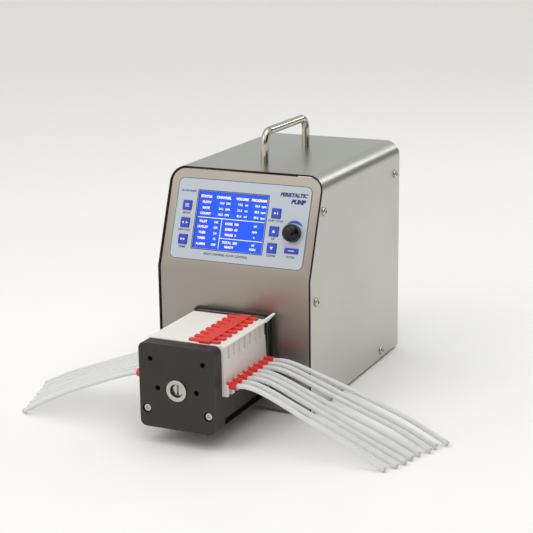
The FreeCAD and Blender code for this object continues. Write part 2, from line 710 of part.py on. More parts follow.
def make_control_board():
    """The board behind the panel, with the dial's encoder and the cable sockets on it."""
    board = block("board", ("-66", "68"), ("8", "84"), ("-board_depth - board_t", "-board_depth"))
    case = block("encoder_case", ("knob_x - 6", "knob_x + 6"), ("knob_up - 6", "knob_up + 6"),
                 ("-board_depth", "-5.5"))
    bush = rod("encoder_bush", "z", ("knob_x", "knob_up", "-5.5"), "bush_r", "6.7")
    bore = rod("encoder_bore", "z", ("knob_x", "knob_up", "-board_depth + 1.5"), "dial_shaft_r + running_gap", "20")
    encoder = cut("encoder", join("encoder_solid", [case, bush]), [bore])
    sockets = [
        block(f"board_socket_{k}", (f"{-50 + 40 * k}", f"{-30 + 40 * k}"), ("12", "18"),
              ("-board_depth - board_t - 7", "-board_depth - board_t"))
        for k in range(3)
    ]
    node(on_slope(group("board_parts", [board, encoder] + sockets)), "control_board")


# ---------------------------------------------------------------- drive
SHAFT_Z = "(foot_h + shaft_h)"
FLANGE_SCREWS = [(x, height) for x in ("-36", "36") for height in (22, 85)]


def make_drive_motor():
    half = "motor_w / 2"
    front = "front_y + panel_t"
    frame = block("motor_frame", (f"-{half}", half), (front, f"{front} + motor_len"),
                  (f"{SHAFT_Z} - {half}", f"{SHAFT_Z} + {half}"))
    boss = rod("motor_boss", "y", ("0", f"{front} - motor_boss_len", SHAFT_Z), "motor_boss_r", "motor_boss_len + 1")
    bore = rod("motor_bore", "y", ("0", f"{front} - 4", SHAFT_Z), "motor_shaft_r + running_gap",
               "motor_shaft_len + 5")
    node(cut("motor", join("motor_solid", [frame, boss]), [bore]), "drive_motor")


def make_power_supply():
    case = block("supply_case", ("-8", "70"), ("front_y + 112", "front_y + 212"),
                 ("foot_h + sheet_t", "foot_h + sheet_t + 36"))
    strip = block("supply_terminals", ("0", "60"), ("front_y + 104", "front_y + 112"),
                  ("foot_h + sheet_t + 4", "foot_h + sheet_t + 16"))
    node(join("supply", [case, strip]), "power_supply")


# ---------------------------------------------------------------- pump head frame
HEAD_FRONT = "(front_y - head_reach)"
CASSETTES_FRONT = "(front_y - head_reach + front_plate_t)"
CASSETTES_BACK = "(front_y - flange_t - spacer_t - rear_plate_t)"
SECTION_X = ("-head_w / 2", "head_w / 2")
SECTION_Z = ("foot_h + head_low", "foot_h + head_high")


def head_slab(name, y_low, y_high):
    """A slab of the head's section with its four long corners rounded."""
    slab = body(name)
    section = sketch(slab, "section", "XZ", f"-({y_high})")
    rectangle(section, SECTION_X, SECTION_Z)
    pad(slab, section, f"({y_high}) - ({y_low})")
    round_edges(slab, "head_corner_r", lambda edge: runs_along(edge, Y_AXIS))
    return slab


def circles_pocket(owner, name, y, spots, radius, depth, backwards=False):
    """Round holes along Y, cut from the plane at y towards the back, or forwards when backwards."""
    holes = sketch(owner, name, "XZ", f"-({y})")
    for x, z in spots:
        circle(holes, x, z, radius)
    pocket(owner, holes, depth, backwards)


def mirrored(x, z):
    return [(x, z), (f"-{x}", z)]


def make_front_plate():
    plate = head_slab("front_end_plate", HEAD_FRONT, CASSETTES_FRONT)
    face = HEAD_FRONT
    circles_pocket(plate, "bearing_seat", face, [("0", SHAFT_Z)], "bearing_r + 0.02", "bearing_len + 4")
    circles_pocket(plate, "shaft_hole", face, [("0", SHAFT_Z)], "shaft_r + 1", "front_plate_t")
    circles_pocket(plate, "high_holes", face, mirrored("high_hole_x", "foot_h + high_hole_h"),
                   "head_hole_r", "head_hole_depth")
    circles_pocket(plate, "low_holes", face, mirrored("low_hole_x", SHAFT_Z), "head_hole_r", "head_hole_depth")
    screws = mirrored("head_screw_x", "foot_h + head_screw_h")
    circles_pocket(plate, "counterbores", face, screws, "counterbore_r", "counterbore_depth")
    circles_pocket(plate, "screw_holes", face, screws, "head_screw_r + 0.1", "front_plate_t")
    node(plate, "front_end_plate")


def make_rear_plate():
    plate = head_slab("rear_end_plate", CASSETTES_BACK, f"{CASSETTES_BACK} + rear_plate_t")
    circles_pocket(plate, "bearing_seat", CASSETTES_BACK, [("0", SHAFT_Z)], "bearing_r + 0.02", "bearing_len")
    circles_pocket(plate, "shaft_hole", CASSETTES_BACK, [("0", SHAFT_Z)], "shaft_r + 1", "rear_plate_t")
    screws = mirrored("head_screw_x", "foot_h + head_screw_h")
    circles_pocket(plate, "screw_holes", CASSETTES_BACK, screws, "head_screw_r + 0.1", "rear_plate_t")
    circles_pocket(plate, "counterbores", f"{CASSETTES_BACK} + rear_plate_t", screws, "counterbore_r",
                   "counterbore_depth", backwards=True)
    node(plate, "rear_end_plate")


def make_spacer_and_flange():
    back = f"{CASSETTES_BACK} + rear_plate_t"
    spacer = head_slab("spacer_frame", back, f"{back} + spacer_t")
    circles_pocket(spacer, "shaft_hole", back, [("0", SHAFT_Z)], "ring_r", "spacer_t")
    node(spacer, "spacer_frame")
    flange = body("mounting_flange")
    face = sketch(flange, "face", "XZ", "-front_y")
    rectangle(face, ("-flange_half_w", "flange_half_w"), ("foot_h + head_low - 2", "foot_h + flange_high"))
    pad(flange, face, "flange_t")
    round_edges(flange, "head_corner_r", lambda edge: runs_along(edge, Y_AXIS))
    circles_pocket(flange, "shaft_hole", "front_y - flange_t", [("0", SHAFT_Z)], "ring_r", "flange_t")
    spots = [(x, f"foot_h + {height}") for x, height in FLANGE_SCREWS]
    circles_pocket(flange, "screw_holes", "front_y", spots, "head_screw_r + 0.1", "2.6", backwards=True)
    node(flange, "mounting_flange")


def make_base_rail():
    """The rail under the cassettes, with a round trough for the rotor and a side groove."""
    rail = body("base_rail")
    section = sketch(rail, "section", "XZ", f"-{CASSETTES_BACK}")
    rectangle(section, SECTION_X, ("foot_h + head_low", "foot_h + rail_top"))
    length = f"({CASSETTES_BACK} - {CASSETTES_FRONT})"
    pad(rail, section, length)
    low = value("foot_h + head_low")
    round_edges(rail, "head_corner_r",
                lambda edge: runs_along(edge, Y_AXIS) and abs(edge.CenterOfMass.z - low) < 0.01)
    circles_pocket(rail, "trough", CASSETTES_FRONT, [("0", SHAFT_Z)], "trough_r", length)
    grooves = sketch(rail, "grooves", "XZ", f"-({CASSETTES_FRONT} + 4.8)")
    for side in ("", "-"):
        rectangle(grooves, (f"{side}(head_w / 2 - groove_depth)", f"{side}(head_w / 2 + 1)"),
                  ("foot_h + groove_low", "foot_h + groove_high"))
    pocket(rail, grooves, f"{length} - 10")
    for name, y, backwards in (("front_screw_holes", CASSETTES_FRONT, False), ("rear_screw_holes", CASSETTES_BACK, True)):
        circles_pocket(rail, name, y, mirrored("head_screw_x", "foot_h + head_screw_h"),
                       "head_screw_r + 0.1", "16", backwards)
    node(rail, "base_rail")


def make_head_screws():
    """Screws that hold the end plates to the rail and the flange to the cabinet."""
    screws = []
    for k, (x, z) in enumerate(mirrored("head_screw_x", "foot_h + head_screw_h")):
        floor = f"{HEAD_FRONT} + counterbore_depth"
        shank = rod(f"front_shank_{k}", "y", (x, floor, z), "head_screw_r", "head_screw_len")
        head = rod(f"front_head_{k}", "y", (x, f"{floor} - head_screw_head_h", z), "head_screw_head_r",
                   "head_screw_head_h")
        screws.append(join(f"front_screw_{k}", [shank, head]))
        floor = f"{CASSETTES_BACK} + rear_plate_t - counterbore_depth"
        shank = rod(f"rear_shank_{k}", "y", (x, f"{floor} - 16", z), "head_screw_r", "16")
        head = rod(f"rear_head_{k}", "y", (x, floor, z), "head_screw_head_r", "head_screw_head_h")
        screws.append(join(f"rear_screw_{k}", [shank, head]))
    for k, (x, height) in enumerate(FLANGE_SCREWS):
        z, inside = f"foot_h + {height}", "front_y + panel_t"
        shank = rod(f"flange_shank_{k}", "y", (x, f"{inside} - 4.4", z), "head_screw_r", "4.4")
        head = rod(f"flange_head_{k}", "y", (x, inside, z), "head_screw_head_r", "head_screw_head_h")
        screws.append(join(f"flange_screw_{k}", [shank, head]))
    node(group("frame_screws", screws), "head_screws")


def make_bearings():
    """Two ball bearings; the front one has the bright ring that shows on the plate."""
    outside = rod("front_bearing_body", "y", ("0", f"{HEAD_FRONT} - ring_proud", SHAFT_Z), "bearing_r",
                  "bearing_len + ring_proud + 4")
    ring = rod("front_bearing_ring", "y", ("0", f"{HEAD_FRONT} - ring_proud", SHAFT_Z), "ring_r", "ring_proud")
    bore = rod("front_bearing_bore", "y", ("0", f"{HEAD_FRONT} - 5", SHAFT_Z), "shaft_r + running_gap", "30")
    mouth = rod("front_bearing_mouth", "y", ("0", f"{HEAD_FRONT} - ring_proud - 1", SHAFT_Z), "ring_mouth_r",
                "1 + shaft_deep")
    front = cut("front_bearing", join("front_bearing_solid", [outside, ring]), [bore, mouth])
    race = rod("rear_bearing_body", "y", ("0", CASSETTES_BACK, SHAFT_Z), "bearing_r", "bearing_len")
    bore = rod("rear_bearing_bore", "y", ("0", f"{CASSETTES_BACK} - 5", SHAFT_Z), "shaft_r + running_gap", "30")
    rear = cut("rear_bearing", race, [bore])
    node(group("bearings", [front, rear]), "shaft_bearings")


# ---------------------------------------------------------------- rotor
DISC_FRONT = f"({CASSETTES_FRONT} + 0.3)"
DISC_BACK = f"({CASSETTES_BACK} - 0.3 - disc_t)"


def roller_spot(k):
    turn = 360 * k / ROLLERS
    return f"roller_circle_r * cos({turn})", f"{SHAFT_Z} + roller_circle_r * sin({turn})"


def make_drive_shaft():
    """The motor's shaft and the head's shaft in one, with a tool slot in its front end."""
    tip = f"({HEAD_FRONT} - ring_proud + shaft_deep)"
    thick = rod("shaft_thick", "y", ("0", tip, SHAFT_Z), "shaft_r", f"front_y - 2 - {tip}")
    thin = rod("shaft_thin", "y", ("0", "front_y - 2", SHAFT_Z), "motor_shaft_r", "motor_shaft_len")
    slot = block("shaft_slot", ("-slot_half", "slot_half"), (f"{tip} - 1", f"{tip} + shaft_slot_depth"),
                 (f"{SHAFT_Z} - 6", f"{SHAFT_Z} + 6"))
    node(cut("shaft", join("shaft_solid", [thick, thin]), [slot]), "drive_shaft")


def make_rotor_carrier():
    parts = []
    for name, y in (("front_disc", DISC_FRONT), ("rear_disc", DISC_BACK)):
        parts.append(rod(name, "y", ("0", y, SHAFT_Z), "disc_r", "disc_t"))
    for k in range(ROLLERS):
        x, z = roller_spot(k)
        parts.append(rod(f"axle_{k}", "y", (x, DISC_FRONT, z), "axle_r", f"{DISC_BACK} + disc_t - {DISC_FRONT}"))
    parts.append(rod("carrier_tube", "y", ("0", DISC_FRONT, SHAFT_Z), "shaft_r + 4",
                     f"{DISC_BACK} + disc_t - {DISC_FRONT}"))
    bore = rod("carrier_bore", "y", ("0", f"{DISC_FRONT} - 1", SHAFT_Z), "shaft_r + 0.02", "120")
    node(cut("carrier", join("carrier_solid", parts), [bore]), "rotor_carrier")


def make_rollers():
    rollers = []
    start = f"({DISC_FRONT} + disc_t + 0.2)"
    length = f"({DISC_BACK} - 0.2 - {start})"
    for k in range(ROLLERS):
        x, z = roller_spot(k)
        solid = rod(f"roller_solid_{k}", "y", (x, start, z), "roller_r", length)
        bore = rod(f"roller_bore_{k}", "y", (x, f"{start} - 1", z), "axle_r + running_gap", f"{length} + 2")
        rollers.append(cut(f"roller_{k}", solid, [bore]))
    node(group("roller_set", rollers), "rollers")


# ---------------------------------------------------------------- cassettes
def lead_in():
    """Where the tube's straight lead-in leaves the pressing circle: angle, and unit direction down it."""
    reach, rise, radius = value("tube_exit") - 5, value("tube_h - foot_h - shaft_h"), value("pressed_circle_r")
    angle = math.atan2(rise, reach) + math.acos(radius / math.hypot(reach, rise))
    return angle, V(math.sin(angle), -math.cos(angle), 0)


def channel_y(channel):
    return f"(front_y - first_channel + {channel - 1} * pitch)"


def make_cassette(channel):
    """One white cassette: a pressing bed over the rotor and two legs on the rail, notched for the tube."""
    cassette = body(f"cassette_{channel}")
    half = "((pitch - side_gap) / 2)"
    wide = f"2 * {half}"
    outline = sketch(cassette, "outline", "XZ", f"-{half}")
    polygon(outline, [
        ("-leg_out", "foot_h + rail_top"), ("-leg_out", "ledge_h"), ("cassette_left - 2", "ledge_h + 1"),
        ("cassette_left", "foot_h + 76.5"), ("cassette_left", "foot_h + cassette_top"),
        ("lip_out - 3", "foot_h + cassette_top"), ("lip_out", "foot_h + cassette_top - 1.2"),
        ("lip_out", "foot_h + cassette_top - 2.5"), ("cassette_right", "foot_h + cassette_top - 2.8"),
        ("cassette_right", "foot_h + 76.5"), ("cassette_right + 1", "ledge_h + 1"), ("leg_out", "ledge_h"),
        ("leg_out", "foot_h + rail_top"),
    ])
    pad(cassette, outline, wide)
    bed = sketch(cassette, "bed", "XZ", f"{half}")
    circle(bed, "0", SHAFT_Z, "bed_r")
    pocket(cassette, bed, wide)
    angle, down = lead_in()
    out = value("pressed_circle_r + tube_room")
    foot = V(math.cos(angle), math.sin(angle), 0)
    near = foot * out + down * 3
    slope = down.y / down.x
    rise_at_leg = near.y + (value("leg_in") - near.x) * slope
    low = foot * (value("bed_r") - 2) + down * 3
    under = sketch(cassette, "tube_ways", "XZ", f"{half}")
    for side in ("", "-"):
        polygon(under, [
            (f"{side}leg_in", "foot_h + rail_top - 1"),
            (f"{side}leg_in", f"{SHAFT_Z} + {rise_at_leg:.3f}"),
            (f"{side}{near.x:.3f}", f"{SHAFT_Z} + {near.y:.3f}"),
            (f"{side}{low.x:.3f}", f"{SHAFT_Z} + {low.y:.3f}"),
            (f"{side}12", f"{SHAFT_Z}"),
            (f"{side}12", "foot_h + rail_top - 1"),
        ])
    pocket(cassette, under, wide)
    notch = sketch(cassette, "notches", "XZ", "notch_w / 2")
    for side in ("", "-"):
        polygon(notch, [
            (f"{side}(leg_in - 1)", "foot_h + rail_top - 1"), (f"{side}(leg_out + 1)", "foot_h + rail_top - 1"),
            (f"{side}(leg_out + 1)", "tube_h + tube_room - 0.2"), (f"{side}(leg_out - 3)", "tube_h + tube_room - 0.2"),
            (f"{side}(leg_in - 1)", f"{SHAFT_Z} + {rise_at_leg:.3f} - {slope:.5f}"),
        ])
    pocket(cassette, notch, "notch_w")
    slot = sketch(cassette, "slot", "XY", "foot_h + cassette_top + 1")
    rectangle(slot, ("slot_left", "slot_right"), ("-slot_w / 2", "slot_w / 2"))
    pocket(cassette, slot, "slot_depth + 1")
    bind(cassette, y=channel_y(channel))
    node(cassette, f"cassette_{channel}")


def make_adjuster(channel):
    """A red pressure slider on a cassette: hub across the cassette, an arm each way, a foot in its slot."""
    y = channel_y(channel)
    top = "(foot_h + cassette_top)"
    half = "((pitch - 0.3) / 2)"
    hub = block(f"hub_{channel}", ("hub_left", "hub_right"), (f"{y} - {half}", f"{y} + {half}"),
                (top, f"{top} + adjuster_h"))
    arms = block(f"arms_{channel}", ("arm_left", "arm_right"), (f"{y} - arm_w / 2", f"{y} + arm_w / 2"),
                 (top, f"{top} + adjuster_h - 0.6"))
    foot = block(f"foot_of_adjuster_{channel}", ("key_foot_left", "key_foot_right"),
                 (f"{y} - key_foot_w / 2", f"{y} + key_foot_w / 2"), (f"{top} - key_foot_depth", f"{top} + 1"))
    node(join(f"adjuster_solid_{channel}", [hub, arms, foot]), f"adjuster_{channel}")


# ---------------------------------------------------------------- pump tubes
def route_wire(points):
    """Straight runs joined by tangent arcs, as large as the runs allow, and the smallest arc radius."""
    edges, radii, start = [], [], points[0]
    for before, corner, after in zip(points, points[1:], points[2:]):
        into, out = corner - before, after - corner
        half_turn = into.getAngle(out) / 2
        trim = 0.45 * min(into.Length, out.Length)
        radii.append(trim / math.tan(half_turn))
        into.normalize()
        out.normalize()
        first, last = corner - into * trim, corner + out * trim
        inward = (out - into).normalize()
        middle = corner + inward * (radii[-1] / math.cos(half_turn) - radii[-1])
        edges += [Part.LineSegment(start, first).toShape(), Part.Arc(first, middle, last).toShape()]
        start = last
    edges.append(Part.LineSegment(start, points[-1]).toShape())
    return Part.Wire(edges), min(radii)


def tube_solid(points):
    """A plain tube solid along a route, checked by its volume."""
    wire, tightest = route_wire(points)
    radius = value("tube_r")
    start = (points[1] - points[0]).normalize()
    ring = Part.Wire([Part.Circle(points[0], start, radius).toShape()])
    solid = wire.makePipeShell([ring], True, True)
    if solid.ShapeType != "Solid":
        solid = Part.Solid(solid) if solid.ShapeType == "Shell" else solid.Solids[0]
    wanted = math.pi * radius**2 * wire.Length
    if abs(solid.Volume / wanted - 1) > 0.005:
        raise RuntimeError(f"tube volume {solid.Volume:.0f} is not {wanted:.0f}")
    return solid, wire.Length, tightest


def make_tubes():
    for channel in CHANNELS:
        y = value(channel_y(channel))
        solids = []
        for side, runs in ((1, RIGHT_RUNS), (-1, LEFT_RUNS)):
            points = [V(side * reach, y, height) for reach, height in runs[channel - 1]]
            solid, length, tightest = tube_solid(points)
            solids.append(solid)
            print(f"tube {channel} {'right' if side > 0 else 'left'}: {length:.1f} mm, tightest radius {tightest:.0f} mm")
        node(shaped(f"tube_pair_{channel}", Part.makeCompound(solids)), f"pump_tube_{channel}")


def make_tube_loops():
    """The middle of each tube: round lead-ins and a band pressed flat between rollers and bed."""
    angle, down = lead_in()
    radius, height = value("pressed_circle_r"), value(SHAFT_Z)
    thick, wide, tube = value("pressed_t"), value("pressed_w"), value("tube_r")
    loops = []
    for channel in CHANNELS:
        y = value(channel_y(channel))

        def spot(across, up):
            return V(across, y, height + up)

        tangent = V(math.cos(angle), math.sin(angle), 0) * radius
        start = tangent + down * 10
        edges = [
            Part.LineSegment(spot(start.x, start.y), spot(tangent.x, tangent.y)).toShape(),
            Part.Arc(spot(tangent.x, tangent.y), spot(0, radius), spot(-tangent.x, tangent.y)).toShape(),
            Part.LineSegment(spot(-tangent.x, tangent.y), spot(-start.x, start.y)).toShape(),
        ]
        middle = spot(start.x, start.y)
        along, across = V(down.x, 0, down.y), V(-down.y, 0, down.x)
        corners = [
            middle + across * (a * thick / 2) + Y_AXIS * (b * wide / 2)
            for a, b in ((1, 1), (1, -1), (-1, -1), (-1, 1))
        ]
        band = Part.Wire(edges).makePipeShell([Part.makePolygon(corners + corners[:1])], True, True)
        parts = [band if band.ShapeType == "Solid" else Part.Solid(band)]
        bend = value("tube_exit") - 5
        for side in (1, -1):
            points = [V(side * value("tube_exit"), y, value("tube_h")), V(side * bend, y, value("tube_h")),
                      spot(side * start.x, start.y)]
            wire, _ = route_wire(points)
            ring = Part.Wire([Part.Circle(points[0], V(-side, 0, 0), tube).toShape()])
            lead = wire.makePipeShell([ring], True, True)
            parts.append(lead if lead.ShapeType == "Solid" else Part.Solid(lead))
        loops.append(parts[0].fuse(parts[1:]))
    node(shaped("loops", Part.makeCompound(loops)), "tube_loops")


def make_collars():
    """The red stop collars, two on each tube, against the cassette's legs."""
    collars = []
    for channel in CHANNELS:
        for side, mark in ((1, "r"), (-1, "l")):
            x = "tube_exit" if side > 0 else "-tube_exit - collar_len"
            start = (x, channel_y(channel), "tube_h")
            outer = rod(f"collar_outer_{channel}{mark}", "x", start, "collar_r", "collar_len")
            bore = rod(f"collar_inner_{channel}{mark}", "x", start, "collar_bore_r", "collar_len")
            collars.append(cut(f"collar_{channel}{mark}", outer, [bore]))
    node(group("collars", collars), "tube_collars")


# ---------------------------------------------------------------- back of the cabinet
ENTRY_Z = "(foot_h + entry_h)"
ROCKER_Z = f"({ENTRY_Z} + rocker_above)"
SOCKET_Z = f"({ENTRY_Z} - socket_below)"
ROCKER_PIVOT_Y = f"({BACK} + entry_proud - 3)"


def make_power_entry():
    """Mains inlet and switch housing in one snap-in module."""
    half_w, half_t = "(entry_w / 2 - 0.2)", "(entry_tall / 2 - 0.2)"
    case = block("entry_case", (f"entry_x - {half_w}", f"entry_x + {half_w}"), (f"{BACK} - entry_depth", BACK),
                 (f"{ENTRY_Z} - {half_t}", f"{ENTRY_Z} + {half_t}"))
    rim = block("entry_rim_plate", (f"entry_x - {half_w} - entry_rim", f"entry_x + {half_w} + entry_rim"),
                (BACK, f"{BACK} + entry_proud"),
                (f"{ENTRY_Z} - {half_t} - entry_rim", f"{ENTRY_Z} + {half_t} + entry_rim"))
    socket = block("entry_socket", ("entry_x - socket_w / 2", "entry_x + socket_w / 2"),
                   (f"{BACK} + entry_proud - socket_depth", f"{BACK} + entry_proud + 1"),
                   (f"{SOCKET_Z} - socket_tall / 2", f"{SOCKET_Z} + socket_tall / 2"))
    well = block("rocker_well", ("entry_x - rocker_hole_w / 2", "entry_x + rocker_hole_w / 2"),
                 (f"{ROCKER_PIVOT_Y} - 8", f"{BACK} + entry_proud + 1"),
                 (f"{ROCKER_Z} - rocker_hole_tall / 2", f"{ROCKER_Z} + rocker_hole_tall / 2"))
    pivot = rod("rocker_pivot_hole", "x", ("entry_x - rocker_w / 2 - rocker_pin_len - 0.2", ROCKER_PIVOT_Y, ROCKER_Z),
                "rocker_pin_r + 0.1", "rocker_w + 2 * rocker_pin_len + 0.4")
    housing = cut("entry_housing", join("entry_solid", [case, rim]), [socket, well, pivot])
    pins = []
    for k, (x, z) in enumerate((("-7", "-2"), ("0", "2"), ("7", "-2"))):
        pins.append(block(f"entry_pin_{k}", (f"entry_x + {x} - 1", f"entry_x + {x} + 1"),
                          (f"{BACK} + entry_proud - socket_depth - 3", f"{BACK} + entry_proud - 6"),
                          (f"{SOCKET_Z} + {z} - 2", f"{SOCKET_Z} + {z} + 2")))
    node(join("entry", [housing] + pins), "power_entry_module")


def make_power_rocker():
    rocker = body("power_rocker")
    profile = sketch(rocker, "profile", "YZ", "-rocker_w / 2")
    polygon(profile, [("0", "-8.5"), ("5.4", "-8.5"), ("4.2", "0"), ("5.4", "8.5"), ("0", "8.5"), ("-3", "0")])
    pad(rocker, profile, "rocker_w")
    pins = sketch(rocker, "pivot_pins", "YZ", "-rocker_w / 2 - rocker_pin_len")
    circle(pins, "0", "0", "rocker_pin_r")
    pad(rocker, pins, "rocker_w + 2 * rocker_pin_len")
    rocker.Placement = FreeCAD.Placement(V(), FreeCAD.Rotation(X_AXIS, 1))
    bind(rocker, tilt="-rocker_tilt", x="entry_x", y=ROCKER_PIVOT_Y, z=ROCKER_Z)
    node(rocker, "power_rocker")


def make_signal_connector():
    """A 15-way connector: flange, shell and insert, with its two hexagonal jack posts."""
    z = "(foot_h + plug_h)"
    plate = block("connector_plate", ("plug_x - 19.5", "plug_x + 19.5"), (BACK, f"{BACK} + 1"),
                  (f"{z} - 6.2", f"{z} + 6.2"))
    rear = block("connector_rear", ("plug_x - 12.5", "plug_x + 12.5"), (f"{BACK} - 9", BACK), (f"{z} - 4.8", f"{z} + 4.8"))
    shell = body("connector_shell")
    face = sketch(shell, "face", "XZ", f"-({BACK} + connector_proud)")
    polygon(face, [("plug_x - 12.3", f"{z} + 4.1"), ("plug_x + 12.3", f"{z} + 4.1"),
                   ("plug_x + 10.9", f"{z} - 4.1"), ("plug_x - 10.9", f"{z} - 4.1")])
    pad(shell, face, "connector_proud - 1")
    pins = []
    for line, count, height in (("upper", 8, 1.4), ("lower", 7, -1.4)):
        for k in range(count):
            x = 2.74 * (k - (count - 1) / 2)
            pins.append(rod(f"{line}_pin_{k}", "y", (f"plug_x + {x:.2f}", f"{BACK} + connector_proud - 4", f"{z} + {height}"),
                            "0.55", "5"))
    socket = cut("connector_face", join("connector_solid", [plate, rear, shell]), pins)
    posts = []
    for side in (-1, 1):
        post = doc.addObject("Part::Prism", f"jack_post_{side + 1}")
        post.Polygon = 6
        post.Placement = FreeCAD.Placement(V(), TURNS["y"])
        bind(post, Circumradius="2.7", Height="connector_proud - 2", x=f"plug_x + {side} * 16.65", y=f"{BACK} + 1", z=z)
        posts.append(post)
    node(group("connector", [socket] + posts), "signal_connector")


# ---------------------------------------------------------------- assembly
make_rubber_feet()
make_base_tray()
make_wrap_cover()
make_front_panel()
make_rear_panel()
make_cover_screws()
make_carry_handle()
make_keypad_overlay()
make_lcd_module()
make_keys()
make_control_knob()
make_control_board()
make_drive_motor()
make_power_supply()
make_front_plate()
make_rear_plate()
make_spacer_and_flange()
make_base_rail()
make_head_screws()
make_bearings()
make_drive_shaft()
make_rotor_carrier()
make_rollers()
for channel in CHANNELS:
    make_cassette(channel)
    make_adjuster(channel)
make_tubes()
make_tube_loops()
make_collars()
make_power_entry()
make_power_rocker()
make_signal_connector()

doc.recompute()
for item in doc.Objects:
    if {"Invalid", "Error"} & set(item.State):
        raise RuntimeError(f"{item.Name} failed: {item.State}")
for item in nodes:
    if item.Shape.isNull() or not item.Shape.isValid() or not item.Shape.Solids:
        raise RuntimeError(f"{item.Label} has no valid solid")

os.makedirs("parts", exist_ok=True)
for item in nodes:
    item.Shape.exportStep(f"parts/{item.Label}.step")
print(f"{len(nodes)} sub-parts written")
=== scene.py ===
import json
import math

import bmesh
import bpy
from mathutils import Matrix, Vector


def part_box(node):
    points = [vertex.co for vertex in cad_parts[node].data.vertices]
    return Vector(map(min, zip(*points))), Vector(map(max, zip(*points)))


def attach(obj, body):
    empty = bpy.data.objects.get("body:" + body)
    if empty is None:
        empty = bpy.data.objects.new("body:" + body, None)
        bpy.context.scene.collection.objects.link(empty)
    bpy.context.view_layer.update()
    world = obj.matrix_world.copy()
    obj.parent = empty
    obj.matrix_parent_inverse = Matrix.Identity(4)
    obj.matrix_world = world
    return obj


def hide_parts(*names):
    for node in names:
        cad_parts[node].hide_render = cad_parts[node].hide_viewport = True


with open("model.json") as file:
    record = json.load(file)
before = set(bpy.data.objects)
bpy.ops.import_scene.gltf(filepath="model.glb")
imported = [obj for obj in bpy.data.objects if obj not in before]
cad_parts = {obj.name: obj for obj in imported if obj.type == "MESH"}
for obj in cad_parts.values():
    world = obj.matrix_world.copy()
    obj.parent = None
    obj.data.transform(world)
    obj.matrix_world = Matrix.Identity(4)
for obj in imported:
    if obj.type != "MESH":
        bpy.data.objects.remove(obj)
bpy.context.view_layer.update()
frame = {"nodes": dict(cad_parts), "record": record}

# The looks of an eight-channel bench pump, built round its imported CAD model.
# Sizes are in millimetres up to the point where a piece is made: MM turns them to metres.

MM = 0.001
FRONT_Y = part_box("front_panel")[0].y / MM
TOP_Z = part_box("wrap_cover")[1].z / MM
SHAFT_Z = (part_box("drive_shaft")[0].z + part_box("drive_shaft")[1].z) / 2 / MM
HEAD_FRONT_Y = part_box("front_end_plate")[0].y / MM
FOLD_Z = 132.6
SLOPE = math.radians(20.37)
SHEET = 1.5
HALF_WIDTH = 80.0
PITCH = 11.0
CHANNELS = range(1, 9)

# Stands a piece drawn flat, Z outwards, on the sloping operating panel.
FOLD = Vector((0, FRONT_Y, FOLD_Z)) * MM
ON_SLOPE = Matrix.Translation(FOLD) @ Matrix.Rotation(math.pi / 2 - SLOPE, 4, "X")

BODIES = frame["record"]["behaviour"]["bodies"]
BODY_OF = {node: body for body, nodes in BODIES.items() for node in nodes}


def channel_y(channel):
    """The middle of a channel, front channel first."""
    low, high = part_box(f"cassette_{channel}")
    return (low.y + high.y) / 2 / MM


# ---------------------------------------------------------------- shader nodes
def linear(code, alpha=1.0):
    """An sRGB hex colour as linear numbers."""
    parts = [int(code[k:k + 2], 16) / 255 for k in (1, 3, 5)]
    return [p / 12.92 if p <= 0.04045 else ((p + 0.055) / 1.055) ** 2.4 for p in parts] + [alpha]


def add(owner, kind, inputs=None, **settings):
    """Adds a node to a material or world: settings are its own properties, inputs are values or sockets."""
    tree = owner.node_tree
    item = tree.nodes.new(kind)
    for name, value in settings.items():
        setattr(item, name, value)
    for name, value in (inputs or {}).items():
        socket = item.inputs[name]
        if isinstance(value, bpy.types.NodeSocket):
            tree.links.new(value, socket)
        else:
            socket.default_value = value
    return item


def new_material(name, colour, roughness, **shader_inputs):
    """A material with one Principled shader; returns the material and its shader node."""
    material = bpy.data.materials.new(name)
    material.use_nodes = True
    shader = material.node_tree.nodes["Principled BSDF"]
    values = {"Base Color": linear(colour), "Roughness": roughness, **shader_inputs}
    for socket, value in values.items():
        shader.inputs[socket.replace("_", " ")].default_value = value
    return material, shader


def grains(material, spacing, stretch=(1, 1, 1), detail=3.0):
    """A pattern of grains about spacing millimetres apart, longer along the axes that stretch says."""
    place = add(material, "ShaderNodeTexCoord").outputs["Object"]
    mapped = add(material, "ShaderNodeMapping", {"Vector": place, "Scale": [1 / s for s in stretch]})
    return add(
        material, "ShaderNodeTexNoise",
        {"Vector": mapped.outputs["Vector"], "Scale": 1 / (spacing * MM), "Detail": detail, "Roughness": 0.5},
    ).outputs["Fac"]


def dress(material, shader, tones=None, gloss=None, relief=None):
    """Lets patterns vary a surface. tones is a pattern and two colours, gloss is a pattern and the lowest and
    highest roughness, and relief is a pattern, its depth in millimetres and its strength."""
    links = material.node_tree.links
    if tones:
        source, dark, light = tones
        ends = {"Factor": source, "A": linear(dark), "B": linear(light)}
        mixed = add(material, "ShaderNodeMix", ends, data_type="RGBA")
        links.new(mixed.outputs["Result"], shader.inputs["Base Color"])
    if gloss:
        source, low, high = gloss
        reach = {"Value": source, "From Min": 0.3, "From Max": 0.7, "To Min": low, "To Max": high}
        spread = add(material, "ShaderNodeMapRange", reach)
        links.new(spread.outputs["Result"], shader.inputs["Roughness"])
    if relief:
        source, depth, strength = relief
        height = {"Height": source, "Distance": depth * MM, "Strength": strength}
        raised = add(material, "ShaderNodeBump", height)
        links.new(raised.outputs["Normal"], shader.inputs["Normal"])
    return material


